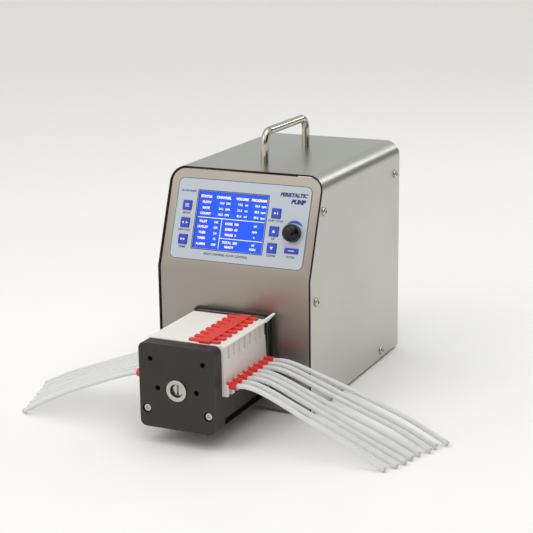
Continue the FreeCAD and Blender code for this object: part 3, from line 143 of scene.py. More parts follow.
# ---------------------------------------------------------------- materials
def satin_stainless(name, dark, light, grain, low, high):
    """Stainless sheet brushed to a satin grain: soft reflections, drawn out across the grain.
    The real grain is about 0.1 mm apart; it is drawn at 0.4 mm so that it shows close up."""
    material, shader = new_material(name, light, 0.3, Metallic=1.0)
    lines = grains(material, 0.4, grain)
    smudges = grains(material, 90, detail=1.0)
    return dress(material, shader, (smudges, dark, light), (lines, low, high), (lines, 0.004, 0.1))


def polished_stainless():
    """Polished stainless bar: near-mirror, with faint polishing lines."""
    material, shader = new_material("polished stainless bar", "#BDB7AE", 0.1, Metallic=1.0)
    lines = grains(material, 0.8, (1, 1, 9))
    return dress(material, shader, gloss=(lines, 0.07, 0.16), relief=(lines, 0.001, 0.1))


def turned_steel(name, colour, low, high):
    """Turned and ground steel, as screws, bearing rings and shafts have: bright, with fine tool marks."""
    material, shader = new_material(name, colour, low, Metallic=1.0)
    marks = grains(material, 0.5)
    return dress(material, shader, gloss=(marks, low, high), relief=(marks, 0.004, 0.2))


def black_anodised_aluminium():
    """Bead-blasted and black anodised aluminium: even near-black with a soft sheen."""
    material, shader = new_material("black anodised aluminium", "#2C2B29", 0.42, Metallic=0.35)
    dye, grit = grains(material, 22), grains(material, 0.6, detail=2.0)
    return dress(material, shader, (dye, "#282725", "#32312E"), (grit, 0.36, 0.5), (grit, 0.02, 0.3))


def anodised_edge_highlight():
    """Broken edges of the black parts, painted a slightly lighter grey: a painted highlight along the edges.
    """
    material, shader = new_material("painted highlight on anodised edges", "#5A5853", 0.38, Metallic=0.6)
    return dress(material, shader, gloss=(grains(material, 0.8), 0.3, 0.46))


def machined_aluminium():
    """Bare machined aluminium: light grey, with soft milling lines."""
    material, shader = new_material("machined aluminium", "#CFCCC6", 0.34, Metallic=1.0)
    lines = grains(material, 0.8, (1, 6, 1))
    return dress(material, shader, gloss=(lines, 0.28, 0.42), relief=(lines, 0.01, 0.3))


def moulded_acetal():
    """Injection-moulded white acetal: satin and faintly waxy, as light passes a little way in."""
    material, shader = new_material(
        "moulded white acetal", "#EFECE7", 0.42, IOR=1.48, Subsurface_Weight=0.12, Subsurface_Scale=0.0015
    )
    cloud, flow = grains(material, 30), grains(material, 0.9, detail=2.0)
    return dress(material, shader, (cloud, "#E9E6E1", "#F3F1ED"), (flow, 0.36, 0.48), (flow, 0.015, 0.25))


def red_abs():
    """Moulded red ABS: saturated and semi-gloss."""
    material, shader = new_material("moulded red ABS", "#E02A1B", 0.32, IOR=1.54, Specular_IOR_Level=0.45)
    cloud, flow = grains(material, 12), grains(material, 0.7, detail=2.0)
    return dress(material, shader, (cloud, "#D62314", "#EA3423"), (flow, 0.29, 0.4), (flow, 0.012, 0.25))


def pump_silicone():
    """Extruded silicone tubing: milky and a little translucent, with a soft bright streak along its top."""
    material, shader = new_material(
        "translucent silicone", "#EDEFF1", 0.33, IOR=1.41, Transmission_Weight=0.25
    )
    return dress(material, shader, gloss=(grains(material, 14, detail=1.0), 0.3, 0.36))


def polyester_overlay():
    """Printed polyester film: pale blue-grey, with the fine stipple of a matt top coat."""
    material, shader = new_material("matt polyester film", "#B6C0CB", 0.42, IOR=1.57)
    cloud, stipple = grains(material, 45), grains(material, 0.5, detail=1.0)
    return dress(
        material, shader, (cloud, "#B2BCC7", "#BAC4CF"), (stipple, 0.34, 0.48), (stipple, 0.012, 0.3)
    )


def printed_ink(name, colour):
    """Screen-printed ink: one colour in a slightly uneven lay."""
    material, shader = new_material(name, colour, 0.5)
    return dress(material, shader, gloss=(grains(material, 0.4), 0.42, 0.6))


def backlit(name, colour, light, strength):
    """A part of the display that the light behind it shines through."""
    material, shader = new_material(name, colour, 0.3)
    shader.inputs["Emission Color"].default_value = linear(light)
    shader.inputs["Emission Strength"].default_value = strength
    return material, shader


def blue_crystal_display():
    """A backlit blue liquid-crystal panel behind clear glass, with a faint 0.6 mm cell pattern."""
    material, shader = backlit("backlit blue display", "#0A2FB0", "#0E4BF5", 0.75)
    place = add(material, "ShaderNodeTexCoord").outputs["Object"]
    cells = add(
        material, "ShaderNodeTexChecker",
        {"Vector": place, "Scale": 1 / (0.6 * MM), "Color1": linear("#0950F0"), "Color2": linear("#125CF8")},
    )
    material.node_tree.links.new(cells.outputs["Color"], shader.inputs["Emission Color"])
    shader.inputs["Specular IOR Level"].default_value = 0.3
    return material


def satin_key():
    """Moulded blue key caps with a satin feel coat."""
    material, shader = new_material("satin blue key", "#0B3CC0", 0.36)
    cloud, coat = grains(material, 6), grains(material, 0.4)
    return dress(material, shader, (cloud, "#0A36B2", "#1044CC"), (coat, 0.3, 0.44))


def gloss_black():
    """Polished black moulding: deep black, with sharp reflections and slight orange peel."""
    material, shader = new_material("gloss black plastic", "#060607", 0.14, Specular_IOR_Level=0.35)
    peel = grains(material, 3, detail=1.0)
    return dress(material, shader, gloss=(peel, 0.12, 0.2), relief=(peel, 0.01, 0.12))


def textured_nylon():
    """Spark-textured black nylon, as inlets and connector bodies have: dull, with a fine tooth."""
    material, shader = new_material("textured black nylon", "#161617", 0.5)
    spark = grains(material, 0.4, detail=2.0)
    return dress(material, shader, gloss=(spark, 0.44, 0.6), relief=(spark, 0.03, 0.4))


def foot_rubber():
    """Black moulded rubber: dull and slightly dusty."""
    material, shader = new_material("moulded rubber", "#1B1B1B", 0.7)
    dust = grains(material, 2.5)
    return dress(material, shader, tones=(dust, "#171717", "#252423"), relief=(dust, 0.05, 0.4))


def motor_enamel():
    """Black enamel over motor laminations: fine lines across the shaft."""
    material, shader = new_material("black motor enamel", "#1D1D1E", 0.42)
    sheets = grains(material, 0.6, (30, 1, 30))
    return dress(material, shader, gloss=(sheets, 0.34, 0.5), relief=(sheets, 0.06, 0.5))


def circuit_laminate():
    """Glass-fibre circuit board under green solder mask, with copper areas showing as lighter patches."""
    material, shader = new_material("green circuit laminate", "#12512B", 0.3, Coat_Weight=0.4)
    copper = add(material, "ShaderNodeMapRange",
                 {"Value": grains(material, 5, detail=1.0), "From Min": 0.3, "From Max": 0.7})
    return dress(material, shader, (copper.outputs["Result"], "#0E4423", "#1B6A39"))


def galvanised_case():
    """Galvanised sheet: cool grey with a soft spangle."""
    material, shader = new_material("galvanised sheet", "#B4B7B8", 0.4, Metallic=1.0)
    spangle = grains(material, 6, detail=1.0)
    return dress(material, shader, (spangle, "#A9ACAE", "#C2C4C4"), (spangle, 0.32, 0.5))


GRAIN_Y = (1, 120, 1)
GRAIN_X = (120, 1, 1)
cover_steel = satin_stainless("satin stainless cover", "#B8B8B3", "#C3C3BE", GRAIN_Y, 0.28, 0.35)
# The front panel is the cover's stainless painted darker and warmer: a painted reflection of warm surroundings
# and painted shade on the front.
warm_shaded_panel_steel = satin_stainless("satin stainless panel, painted warm shade", "#979088", "#A09A92", GRAIN_X, 0.28, 0.38)
bar_steel = polished_stainless()
screw_steel = turned_steel("bright screw steel", "#BDB8B1", 0.18, 0.26)
ground_steel = turned_steel("ground bearing steel", "#B9B5AF", 0.16, 0.26)
# The cover's front rim, painted near-black: painted shade and a painted dark reflection where the sheet edge
# faces forward.
painted_dark_rim = turned_steel("cover rim painted dark", "#2A2724", 0.5, 0.65)
black_metal = black_anodised_aluminium()
painted_edge_highlight = anodised_edge_highlight()
bare_metal = machined_aluminium()
zinc_sheet = galvanised_case()
acetal = moulded_acetal()
red = red_abs()
silicone = pump_silicone()
film = polyester_overlay()
display_blue = blue_crystal_display()
key_blue = satin_key()
knob_black = gloss_black()
nylon = textured_nylon()
rubber = foot_rubber()
motor_black = motor_enamel()
laminate = circuit_laminate()
white_ink = printed_ink("white key ink", "#E8EEF8")
navy_ink = printed_ink("navy overlay ink", "#1C2C66")
dark_ink = printed_ink("dark overlay ink", "#23262E")
blue_ink = printed_ink("blue overlay ink", "#1B54C8")
pale_light, _ = backlit("pale display text", "#C8D4F0", "#E4EEFF", 0.9)
warm_light, _ = backlit("warm display text", "#E8CFC4", "#FBE3D6", 0.85)


# ---------------------------------------------------------------- modelling
def start():
    """Nothing selected, so that the next operator acts on its own piece only."""
    bpy.ops.object.select_all(action="DESELECT")


def made(name):
    """Names the piece that an operator has just made."""
    piece = bpy.context.active_object
    piece.name = piece.data.name = name
    return piece


def activate(piece):
    """Only this piece selected, and active."""
    start()
    piece.select_set(True)
    bpy.context.view_layer.objects.active = piece


def pick(piece, kind, wanted):
    """In edit mode, selects the vertices, edges or faces that pass a test, and nothing else."""
    bpy.ops.mesh.select_mode(type=kind)
    bpy.ops.mesh.select_all(action="DESELECT")
    mesh = bmesh.from_edit_mesh(piece.data)
    parts = {"VERT": mesh.verts, "EDGE": mesh.edges, "FACE": mesh.faces}[kind]
    for part in parts:
        if wanted(part):
            part.select_set(True)
    mesh.select_flush_mode()
    bmesh.update_edit_mesh(piece.data)


def begin_edit(piece):
    activate(piece)
    bpy.ops.object.mode_set(mode="EDIT")


def end_edit():
    bpy.ops.object.mode_set(mode="OBJECT")


def modify(piece, kind, **settings):
    """Adds a modifier and applies it."""
    activate(piece)
    modifier = piece.modifiers.new(kind.lower(), kind)
    for name, value in settings.items():
        setattr(modifier, name, value)
    bpy.ops.object.modifier_apply(modifier=modifier.name)


def break_edges(piece, width, segments=2, slot=-1, limit=38):
    """Rounds the sharp edges of a piece, width in millimetres."""
    modify(piece, "BEVEL", width=width * MM, segments=segments, limit_method="ANGLE",
           angle_limit=math.radians(limit), use_clamp_overlap=True, material=slot)


def smooth(piece, degrees=34):
    """Smooth shading that leaves large flat faces flat."""
    activate(piece)
    bpy.ops.object.shade_smooth_by_angle(angle=math.radians(degrees))
    modify(piece, "WEIGHTED_NORMAL", weight=100, keep_sharp=True)


def settle(piece, place=Matrix()):
    """Puts a piece at its place and moves that place into its mesh."""
    piece.matrix_world = place @ piece.matrix_world
    activate(piece)
    bpy.ops.object.transform_apply(location=True, rotation=True, scale=True)


def join(pieces, name):
    """Makes one piece of several."""
    activate(pieces[0])
    for piece in pieces[1:]:
        piece.select_set(True)
    if len(pieces) > 1:
        bpy.ops.object.join()
    return made(name)


def finish(piece, materials, body="cabinet", replaces=()):
    """Gives a piece its materials, hangs it on the body it rides on, and hides the CAD nodes it stands for."""
    materials = materials if isinstance(materials, (list, tuple)) else [materials]
    if not piece.data.materials:
        for material in materials:
            piece.data.materials.append(material)
    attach(piece, body)
    if replaces:
        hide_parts(*replaces)
    return piece


def copy_of_node(node, name):
    """A copy of a CAD node's mesh, with its loose triangles merged and its flat faces made whole."""
    start()
    piece = bpy.data.objects.new(name, frame["nodes"][node].data.copy())
    bpy.context.collection.objects.link(piece)
    piece.data.materials.clear()
    begin_edit(piece)
    bpy.ops.mesh.select_all(action="SELECT")
    bpy.ops.mesh.customdata_custom_splitnormals_clear()
    bpy.ops.mesh.remove_doubles(threshold=0.002 * MM)
    bpy.ops.mesh.dissolve_limited(angle_limit=math.radians(0.6))
    end_edit()
    return piece


def refine(node, materials, edge=0.3, segments=2):
    """A CAD node's shape with broken edges and smooth rounds. A second material goes on the edges."""
    piece = copy_of_node(node, f"{node}_finished")
    materials = materials if isinstance(materials, (list, tuple)) else [materials]
    for material in materials:
        piece.data.materials.append(material)
    if edge:
        break_edges(piece, edge, segments, slot=1 if len(materials) > 1 else -1)
    smooth(piece)
    return finish(piece, materials, BODY_OF[node], [node])


def cylinder(name, radius, depth, centre, along="z", vertices=48):
    """A cylinder primitive lying along an axis."""
    start()
    turn = {"x": (0, math.pi / 2, 0), "y": (math.pi / 2, 0, 0), "z": (0, 0, 0)}[along]
    bpy.ops.mesh.primitive_cylinder_add(
        vertices=vertices, radius=radius * MM, depth=depth * MM, location=Vector(centre) * MM, rotation=turn
    )
    piece = made(name)
    settle(piece)
    return piece


def bar(name, low, high):
    """A box primitive between two corners."""
    start()
    size = [(b - a) * MM for a, b in zip(low, high)]
    centre = [(a + b) / 2 * MM for a, b in zip(low, high)]
    bpy.ops.mesh.primitive_cube_add(size=1, location=centre, scale=size)
    piece = made(name)
    settle(piece)
    return piece


def carve(piece, tools):
    """Cuts tool pieces out of a piece and removes them."""
    tool = join(tools, "carving_tool")
    modify(piece, "BOOLEAN", operation="DIFFERENCE", solver="EXACT", object=tool)
    bpy.data.objects.remove(tool)


def ring(name, radius, length, wall, centre, along, vertices):
    """A ring: a cylinder with its end faces inset and bridged through."""
    piece = cylinder(name, radius, length, centre, along, vertices)
    axis = "xyz".index(along)
    begin_edit(piece)
    pick(piece, "FACE", lambda face: abs(face.normal[axis]) > 0.9)
    bpy.ops.mesh.inset(thickness=wall * MM)
    bpy.ops.mesh.bridge_edge_loops()
    end_edit()
    return piece


def copies(piece, name, shifts):
    """Copies of a piece, each with its own mesh, moved by shifts in millimetres."""
    row = []
    for shift in shifts:
        copy = bpy.data.objects.new(name, piece.data.copy())
        bpy.context.collection.objects.link(copy)
        copy.data.transform(Matrix.Translation(Vector(shift) * MM))
        row.append(copy)
    return row


# ---------------------------------------------------------------- pump tubes
# Every tube leaves its cassette level, then runs by its own points of reach and height down to the bench.
TUBE_Z = 58.6
LEVEL_RUN = [(43.6, TUBE_Z), (50.5, TUBE_Z)]
RIGHT_RUNS = [
    [(60, 59.7), (74, 56.4), (94, 47.9), (115, 37.8),
     (139, 27.3), (161, 16.6), (178, 7.6), (190, 2.3)],
    [(61, 59.4), (76, 55.1), (96, 46), (119, 36.2),
     (143, 26.2), (165, 16.4), (183, 8), (197, 2.3)],
    [(61, 60.1), (77, 56.3), (98, 46.9), (120, 37.4),
     (144, 26.5), (167, 16.7), (186, 8.2), (201, 2.3)],
    [(61, 59.9), (77, 55.8), (97, 47.1), (119, 37),
     (143, 26.4), (166, 16.7), (187, 8.4), (203, 2.3)],
    [(61, 59.2), (76, 54.6), (96, 46.4), (118, 37.6),
     (143, 28.2), (168, 19.2), (189, 10.6), (206, 2.3)],
    [(62, 60.2), (78, 56.5), (98, 48.9), (121, 40.3),
     (147, 30.8), (172, 22), (195, 11.6), (212, 2.3)],
    [(62, 60.3), (77, 56.8), (97, 49.1), (120, 40.9),
     (145, 31.4), (171, 22.3), (196, 11.6), (214, 2.3)],
    [(62, 60.3), (78, 56.6), (98, 50.1), (123, 42.4),
     (150, 33.2), (178, 23.2), (202, 12.3), (221, 2.3)],
]
LEFT_RUNS = [
    [(59, 56.6), (71, 52.4), (90, 45), (112, 36),
     (136, 25.6), (158, 14.4), (178, 2.3)],
    [(59, 57), (72, 52.6), (91, 45), (113, 36.4),
     (137, 25.4), (160, 14), (180, 2.3)],
    [(60, 57.4), (73, 52.8), (92, 45.2), (115, 35.9),
     (139, 25.5), (163, 14.4), (184, 2.3)],
    [(60, 57.7), (74, 53), (93, 45.2), (116, 36.2),
     (141, 25.7), (165, 15), (187, 2.3)],
    [(60, 57.8), (74, 53.2), (94, 45.2), (117, 36.4),
     (142, 25.7), (167, 14.8), (191, 2.3)],
    [(60, 58), (75, 53.6), (95, 45.6), (118, 36.8),
     (144, 26.2), (170, 15.3), (194, 2.3)],
    [(61, 58.2), (76, 54), (96, 46), (119, 37.1),
     (146, 26.3), (173, 15.8), (198, 2.3)],
    [(61, 58.4), (77, 54.1), (97, 46.2), (121, 36.9),
     (149, 26.4), (177, 15.7), (203, 2.3)],
]
TUBE_R = 2.4
TUBE_WALL = 0.9


def pump_tube(name, points, node):
    """One free stretch of pump tube: hollow, on a smooth line from its stop collar to its cut end."""
    curve = bpy.data.curves.new(name, "CURVE")
    curve.dimensions = "3D"
    curve.bevel_depth = TUBE_R * MM
    curve.bevel_resolution = 7
    curve.resolution_u = 10
    curve.use_fill_caps = False
    spline = curve.splines.new("NURBS")
    spline.points.add(len(points) - 1)
    for spot, point in zip(spline.points, points):
        spot.co = (*(Vector(point) * MM), 1)
    spline.order_u = 3
    spline.use_endpoint_u = True
    piece = bpy.data.objects.new(name, curve)
    bpy.context.collection.objects.link(piece)
    wall = piece.modifiers.new("tube wall", "SOLIDIFY")
    wall.thickness = TUBE_WALL * MM
    wall.offset = -1
    curve.materials.append(silicone)
    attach(piece, "cabinet")
    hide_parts(node)


def make_pump_tubes():
    """Two free stretches for each channel, out to the right and to the left."""
    for channel in CHANNELS:
        y = channel_y(channel)
        for side, word, runs in ((1, "right", RIGHT_RUNS), (-1, "left", LEFT_RUNS)):
            points = [(side * reach, y, height) for reach, height in LEVEL_RUN + runs[channel - 1]]
            pump_tube(f"tube_{channel}_{word}", points, f"pump_tube_{channel}")


def make_stop_collars():
    """Red collars moulded on each tube, a round bead and its neck, one each side of every channel."""
    bead = ring("collar", 3.75, 7.0, 1.2, (0, 0, 0), "x", 40)
    break_edges(bead, 1.1, 5)
    smooth(bead, 60)
    neck = ring("neck", 2.72, 3.0, 0.28, (0, 0, 0), "x", 32)
    smooth(neck, 60)
    sides = [(side, channel_y(channel)) for channel in CHANNELS for side in (1, -1)]
    beads = copies(bead, "stop_collar", [(side * 47.1, y, TUBE_Z) for side, y in sides])
    necks = copies(neck, "neck", [(side * 42.3, y, TUBE_Z) for side, y in sides])
    for first in (bead, neck):
        bpy.data.objects.remove(first)
    finish(join(beads + necks, "stop_collars"), red, "cabinet", ["tube_collars"])


# ---------------------------------------------------------------- cabinet
def make_cabinet():
    """The folded sheets and the feet. The cover's front edges are painted dark: painted shade and a painted
    dark reflection on the rim.
    """
    cover = refine("wrap_cover", [cover_steel, painted_dark_rim], 0)
    begin_edit(cover)
    # Faces looking forward take the rim's painted shade.
    pick(cover, "FACE", lambda face: face.normal.y < -0.5)
    cover.active_material_index = 1
    bpy.ops.object.material_slot_assign()
    end_edit()
    break_edges(cover, 0.2, 2)
    smooth(cover)
    refine("front_panel", warm_shaded_panel_steel, 0.3)
    refine("rear_panel", cover_steel, 0.2)
    refine("base_tray", cover_steel, 0.2)
    refine("rubber_feet", rubber, 0.6, 3)


HANDLE_R = 4.0
HANDLE_BEND = 12.0


def make_carry_handle():
    """A round bar: a circle at one foot is drawn up, spun round the bend, drawn along, spun and drawn down."""
    low, high = (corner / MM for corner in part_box("carry_handle"))
    front, back, top = low.y + HANDLE_R, high.y - HANDLE_R, high.z - HANDLE_R
    bend_z = top - HANDLE_BEND
    start()
    bpy.ops.mesh.primitive_circle_add(vertices=40, radius=HANDLE_R * MM, fill_type="NGON",
                                      location=(0, front * MM, TOP_Z * MM))
    handle = made("bow_handle")
    settle(handle)
    begin_edit(handle)
    bpy.ops.mesh.select_all(action="SELECT")

    def draw_out(step):
        bpy.ops.mesh.extrude_region_move(TRANSFORM_OT_translate={"value": Vector(step) * MM})

    def bend_round(centre):
        bpy.ops.mesh.spin(steps=14, angle=math.pi / 2, center=Vector(centre) * MM, axis=(1, 0, 0))

    draw_out((0, 0, bend_z - TOP_Z))
    bend_round((0, front + HANDLE_BEND, bend_z))
    draw_out((0, back - front - 2 * HANDLE_BEND, 0))
    bend_round((0, back - HANDLE_BEND, bend_z))
    draw_out((0, 0, TOP_Z - bend_z))
    bpy.ops.mesh.select_all(action="SELECT")
    bpy.ops.mesh.remove_doubles(threshold=0.005 * MM)
    bpy.ops.mesh.normals_make_consistent(inside=False)
    end_edit()
    smooth(handle, 50)
    finish(handle, bar_steel, "cabinet", ["carry_handle"])


def button_head(name, radius, height, hexagon, depth):
    """A domed screw head, outwards along +Z from the seat, with a hexagon socket."""
    head = cylinder(name, radius, height, (0, 0, height / 2), "z", 40)
    begin_edit(head)
    pick(head, "EDGE", lambda edge: all(abs(v.co.z / MM - height) < 0.01 for v in edge.verts))
    bpy.ops.mesh.bevel(offset=height * 0.85 * MM, segments=6, profile=0.5)
    end_edit()
    carve(head, [cylinder("socket", hexagon, 2 * depth, (0, 0, height), "z", 6)])
    smooth(head, 40)
    return head


# Screws in each side, as the distance back from the front panel and up from the cabinet's floor.
SIDE_SCREWS = [(31.3, 189.6), (12.9, 106.9), (50.0, 8.0), (223.1, 189.5), (185.7, 8.0)]
CABINET_FLOOR_Z = 3.0


def make_cover_screws():
    """Button heads on the cabinet's sides, and under its top the two that hold the handle."""
    head = button_head("side_head", radius=4.5, height=2.2, hexagon=1.9, depth=1.3)
    heads = []

    def turned_heads(turn, places):
        turned = copies(head, "side_head", [(0, 0, 0)])[0]
        turned.data.transform(turn)
        heads.extend(copies(turned, "side_head", places))
        bpy.data.objects.remove(turned)

    for side in (1, -1):
        turned_heads(Matrix.Rotation(side * math.pi / 2, 4, "Y"),
                     [(side * HALF_WIDTH, FRONT_Y + back, CABINET_FLOOR_Z + up) for back, up in SIDE_SCREWS])
    low, high = (corner.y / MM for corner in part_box("carry_handle"))
    turned_heads(Matrix.Rotation(math.pi, 4, "X"),
                 [(0, y, TOP_Z - SHEET) for y in (low + HANDLE_R, high - HANDLE_R)])
    bpy.data.objects.remove(head)
    finish(join(heads, "side_screw_heads"), screw_steel, "cabinet", ["cover_screws"])


# ---------------------------------------------------------------- operating panel
KEY_PLACES = {
    "mode_key": (-57.6, 60.9), "direction_key": (-57.6, 44.1), "prime_key": (-57.6, 27.9),
    "start_key": (36.3, 60.4), "up_key": (36.3, 43.3), "down_key": (36.3, 27.4), "enter_key": (56.5, 26.6),
}
KEY_TOP = 1.4
OVERLAY_TOP = 0.5
GLASS_TOP = -0.8
INK = 0.02


def lettering(words, size, across, up, out, weight=0.035, lean=0.0):
    """Printed words on the slope, as a thin mesh. size is the capitals' height in millimetres."""
    start()
    bpy.ops.object.text_add(location=(across * MM, up * MM, out * MM))
    text = bpy.context.active_object
    text.data.body = words
    text.data.align_x, text.data.align_y = "CENTER", "CENTER"
    text.data.size = size / 0.72 * MM
    text.data.extrude = INK * MM
    text.data.offset = weight * size * MM
    text.data.shear = lean
    text.data.resolution_u = 3
    bpy.ops.object.convert(target="MESH")
    piece = made("words")
    settle(piece)
    return piece


def strip(low, high, out):
    """A thin printed line or block on the slope between two corners."""
    piece = bar("strip", (*low, out - INK), (*high, out + INK))
    break_edges(piece, INK / 2, 1)
    return piece


def triangle(radius, across, up, out, turn):
    """A thin printed triangle, pointing up the slope when turn is 0."""
    start()
    bpy.ops.mesh.primitive_cylinder_add(
        vertices=3, radius=radius * MM, depth=2 * INK * MM, location=(across * MM, up * MM, out * MM),
        rotation=(0, 0, math.radians(turn)),
    )
    piece = made("triangle")
    settle(piece)
    return piece


def printed(pieces, name, material, body="cabinet"):
    """Joins printed marks, stands them on the slope and inks them."""
    marks = join(pieces, name)
    settle(marks, ON_SLOPE)
    return finish(marks, material, body)


def outline(name, low, high, corner, line, out):
    """A thin printed outline with rounded corners."""
    start()
    centre = [(a + b) / 2 * MM for a, b in zip(low, high)]
    size = [(b - a) * MM for a, b in zip(low, high)]
    bpy.ops.mesh.primitive_plane_add(size=1, location=(*centre, (out - INK) * MM))
    frame_line = made(name)
    there, back = (Matrix.Translation((sign * centre[0], sign * centre[1], 0)) for sign in (1, -1))
    settle(frame_line, there @ Matrix.Diagonal((*size, 1, 1)) @ back)
    begin_edit(frame_line)
    bpy.ops.mesh.select_all(action="SELECT")
    bpy.ops.mesh.bevel(offset=corner * MM, segments=8, affect="VERTICES")
    bpy.ops.mesh.select_all(action="SELECT")
    bpy.ops.mesh.inset(thickness=line * MM)
    bpy.ops.mesh.delete(type="FACE")
    end_edit()
    modify(frame_line, "SOLIDIFY", thickness=2 * INK * MM, offset=1)
    return frame_line


def crescent(out):
    """The blue turn-me mark over the knob: a disc with a lower disc taken from it."""
    disc = cylinder("crescent", 9.4, 2 * INK, (56.3, 45.9, out), "z", 96)
    carve(disc, [cylinder("lower_disc", 16.6, 1, (55.5, 35.9, out), "z", 128)])
    return disc


# Words on the film: capitals' height, across and up the slope.
LEGENDS = [
    ("MODE", 2.0, -57.6, 53.4), ("DIRECTION", 1.8, -57.6, 36.9), ("PRIME", 2.0, -57.6, 20.6),
    ("START / STOP", 1.8, 36.3, 53.1), ("UP", 2.0, 36.3, 36.1), ("DOWN", 2.0, 36.3, 20.2),
    ("ENTER", 2.0, 56.5, 20.6),
]


def make_overlay():
    """The film with its printed outlines, words and turning mark."""
    refine("keypad_overlay", film, 0.12, 2)
    above = OVERLAY_TOP + INK / 2
    lines = [
        outline("edge_line", (-69.8, 9.1), (69.8, 87.8), 5.8, 0.55, above),
        outline("window_line", (-48.2, 19.6), (27.4, 77.1), 1.2, 0.8, above),
    ]
    legends = [lettering(words, size, across, up, above) for words, size, across, up in LEGENDS]
    printed(lines + legends, "overlay_legends", dark_ink)
    printed([
        lettering("PERISTALTIC", 3.5, 51.5, 78.6, above, 0.09, 0.25),
        lettering("PUMP", 4.0, 56.8, 72.4, above, 0.1, 0.25),
        lettering("EIGHT CHANNEL FLOW CONTROL", 2.1, -10.4, 16.0, above, 0.04, 0.2),
    ], "overlay_title", navy_ink)
    small_title = lettering("FLOW PUMP", 2.0, -58.2, 74.9, above, 0.06, 0.2)
    printed([crescent(above), small_title], "overlay_blue_marks", blue_ink)


# The display's words, with their places across and up the slope.
HEADINGS = [("STATUS", -39), ("CHANNEL", -20.5), ("VOLUME", -1), ("PROGRAM", 16.6)]
CHANNEL_ROWS = [("FLOW", 65.6), ("RATE", 60.0), ("COUNT", 54.6)]
CHANNEL_COLUMNS = [("ON", -19.5), ("ml", 0), ("rpm", 18)]
LEFT_ROWS = [("INLET", "OK", 46.9), ("OUTLET", "OK", 41.6), ("TUBE", "2.4", 36.2), ("TIMER", "15", 30.8),
             ("ALARM", "OFF", 25.2)]
RIGHT_ROWS = [("DOSE  100", "ml", 46.4), ("SPEED  60", "rpm", 41.0), ("PAUSE  5", "s", 35.8),
              ("TOTAL  250", "ml", 28.4), ("READY", "RUN", 24.2)]


def make_display():
    """The blue panel, ruled into three fields, with warm headings and pale readings."""
    refine("lcd_module", display_blue, 0.15)
    over = GLASS_TOP + INK / 2
    warm = [lettering(words, 2.4, across, 71.0, over, 0.05) for words, across in HEADINGS]
    pale = [
        strip((-45.5, 50.6), (24.7, 51.1), over), strip((-20.0, 22.2), (-19.5, 50.6), over),
        strip((-19.6, 31.9), (24.7, 32.4), over),
    ]
    for row, (words, up) in enumerate(CHANNEL_ROWS):
        warm.append(lettering(words, 2.3, -38, up, over))
        for column, (unit, across) in enumerate(CHANNEL_COLUMNS):
            number = f"{12 * (row + 1) + 7 * column}.{(row + 2 * column) % 10}"
            pale.append(lettering(number, 2.1, across - 2.5, up, over))
            pale.append(lettering(unit, 2.1, across + 4.2, up, over))
    for words, reading, up in LEFT_ROWS:
        warm.append(lettering(words, 2.2, -39, up, over))
        pale.append(lettering(reading, 2.1, -25.2, up, over))
    for words, unit, up in RIGHT_ROWS:
        warm.append(lettering(words, 2.2, -8.6, up, over))
        pale.append(lettering(unit, 2.2, 16.0, up, over))
    printed(warm, "display_headings", warm_light)
    printed(pale, "display_readings", pale_light)


# The white symbols, from each key's middle: arrowheads as radius, across, up and turn, and blocks as their
# lower left and upper right corners.
ARROWHEADS = {
    "direction_key": [(1.4, -1.9, 0, 90), (1.4, 1.9, 0, -90)],
    "prime_key": [(1.5, -1.4, 0, -90), (1.5, 1.2, 0, -90)],
    "start_key": [(1.6, -1.2, 0, -90)],
    "up_key": [(2.0, 0, -0.3, 0)],
    "down_key": [(2.0, 0, 0.3, 180)],
}
BLOCKS = {
    "mode_key": [(-2, -1.6, 2, -1.0), (-2, -0.3, 2, 0.3), (-2, 1.0, 2, 1.6)],
    "start_key": [(1.2, -1.4, 1.9, 1.4)],
    "enter_key": [(-3, -0.35, 3, 0.35)],
}


def make_keys():
    """Seven caps with rounded edges, each with its white symbol."""
    out = KEY_TOP + INK / 2
    for name, (across, up) in KEY_PLACES.items():
        refine(name, key_blue, 0.45, 3)
        arrowheads = [
            triangle(radius, across + right, up + above, out, turn)
            for radius, right, above, turn in ARROWHEADS.get(name, [])
        ]
        blocks = [
            strip((across + left, up + low), (across + right, up + high), out)
            for left, low, right, high in BLOCKS.get(name, [])
        ]
        printed(arrowheads + blocks, f"{name}_symbol", white_ink, BODY_OF[name])


KNOB_PLACE = (55.6, 43.0, 0)
KNOB_R = 8.65


def make_knob():
    """A domed knob: a cylinder with a very deep round shoulder and a groove above its skirt."""
    knob = cylinder("dial_knob", KNOB_R, 10.5, (0, 0, 6.85), "z", 96)
    begin_edit(knob)
    for height in (2.9, 3.3):
        bpy.ops.mesh.select_all(action="SELECT")
        bpy.ops.mesh.bisect(plane_co=(0, 0, height * MM), plane_no=(0, 0, 1))
    pick(knob, "VERT", lambda vert: 2.8 < vert.co.z / MM < 3.4)
    bpy.ops.transform.resize(value=(0.96, 0.96, 1), center_override=(0, 0, 0))
    pick(knob, "EDGE", lambda edge: all(v.co.z / MM > 12.0 for v in edge.verts))
    bpy.ops.mesh.bevel(offset=7.0 * MM, segments=16, profile=0.5)
    end_edit()
    smooth(knob, 40)
    settle(knob, ON_SLOPE @ Matrix.Translation(Vector(KNOB_PLACE) * MM))
    finish(knob, knob_black, "dial", ["control_knob"])


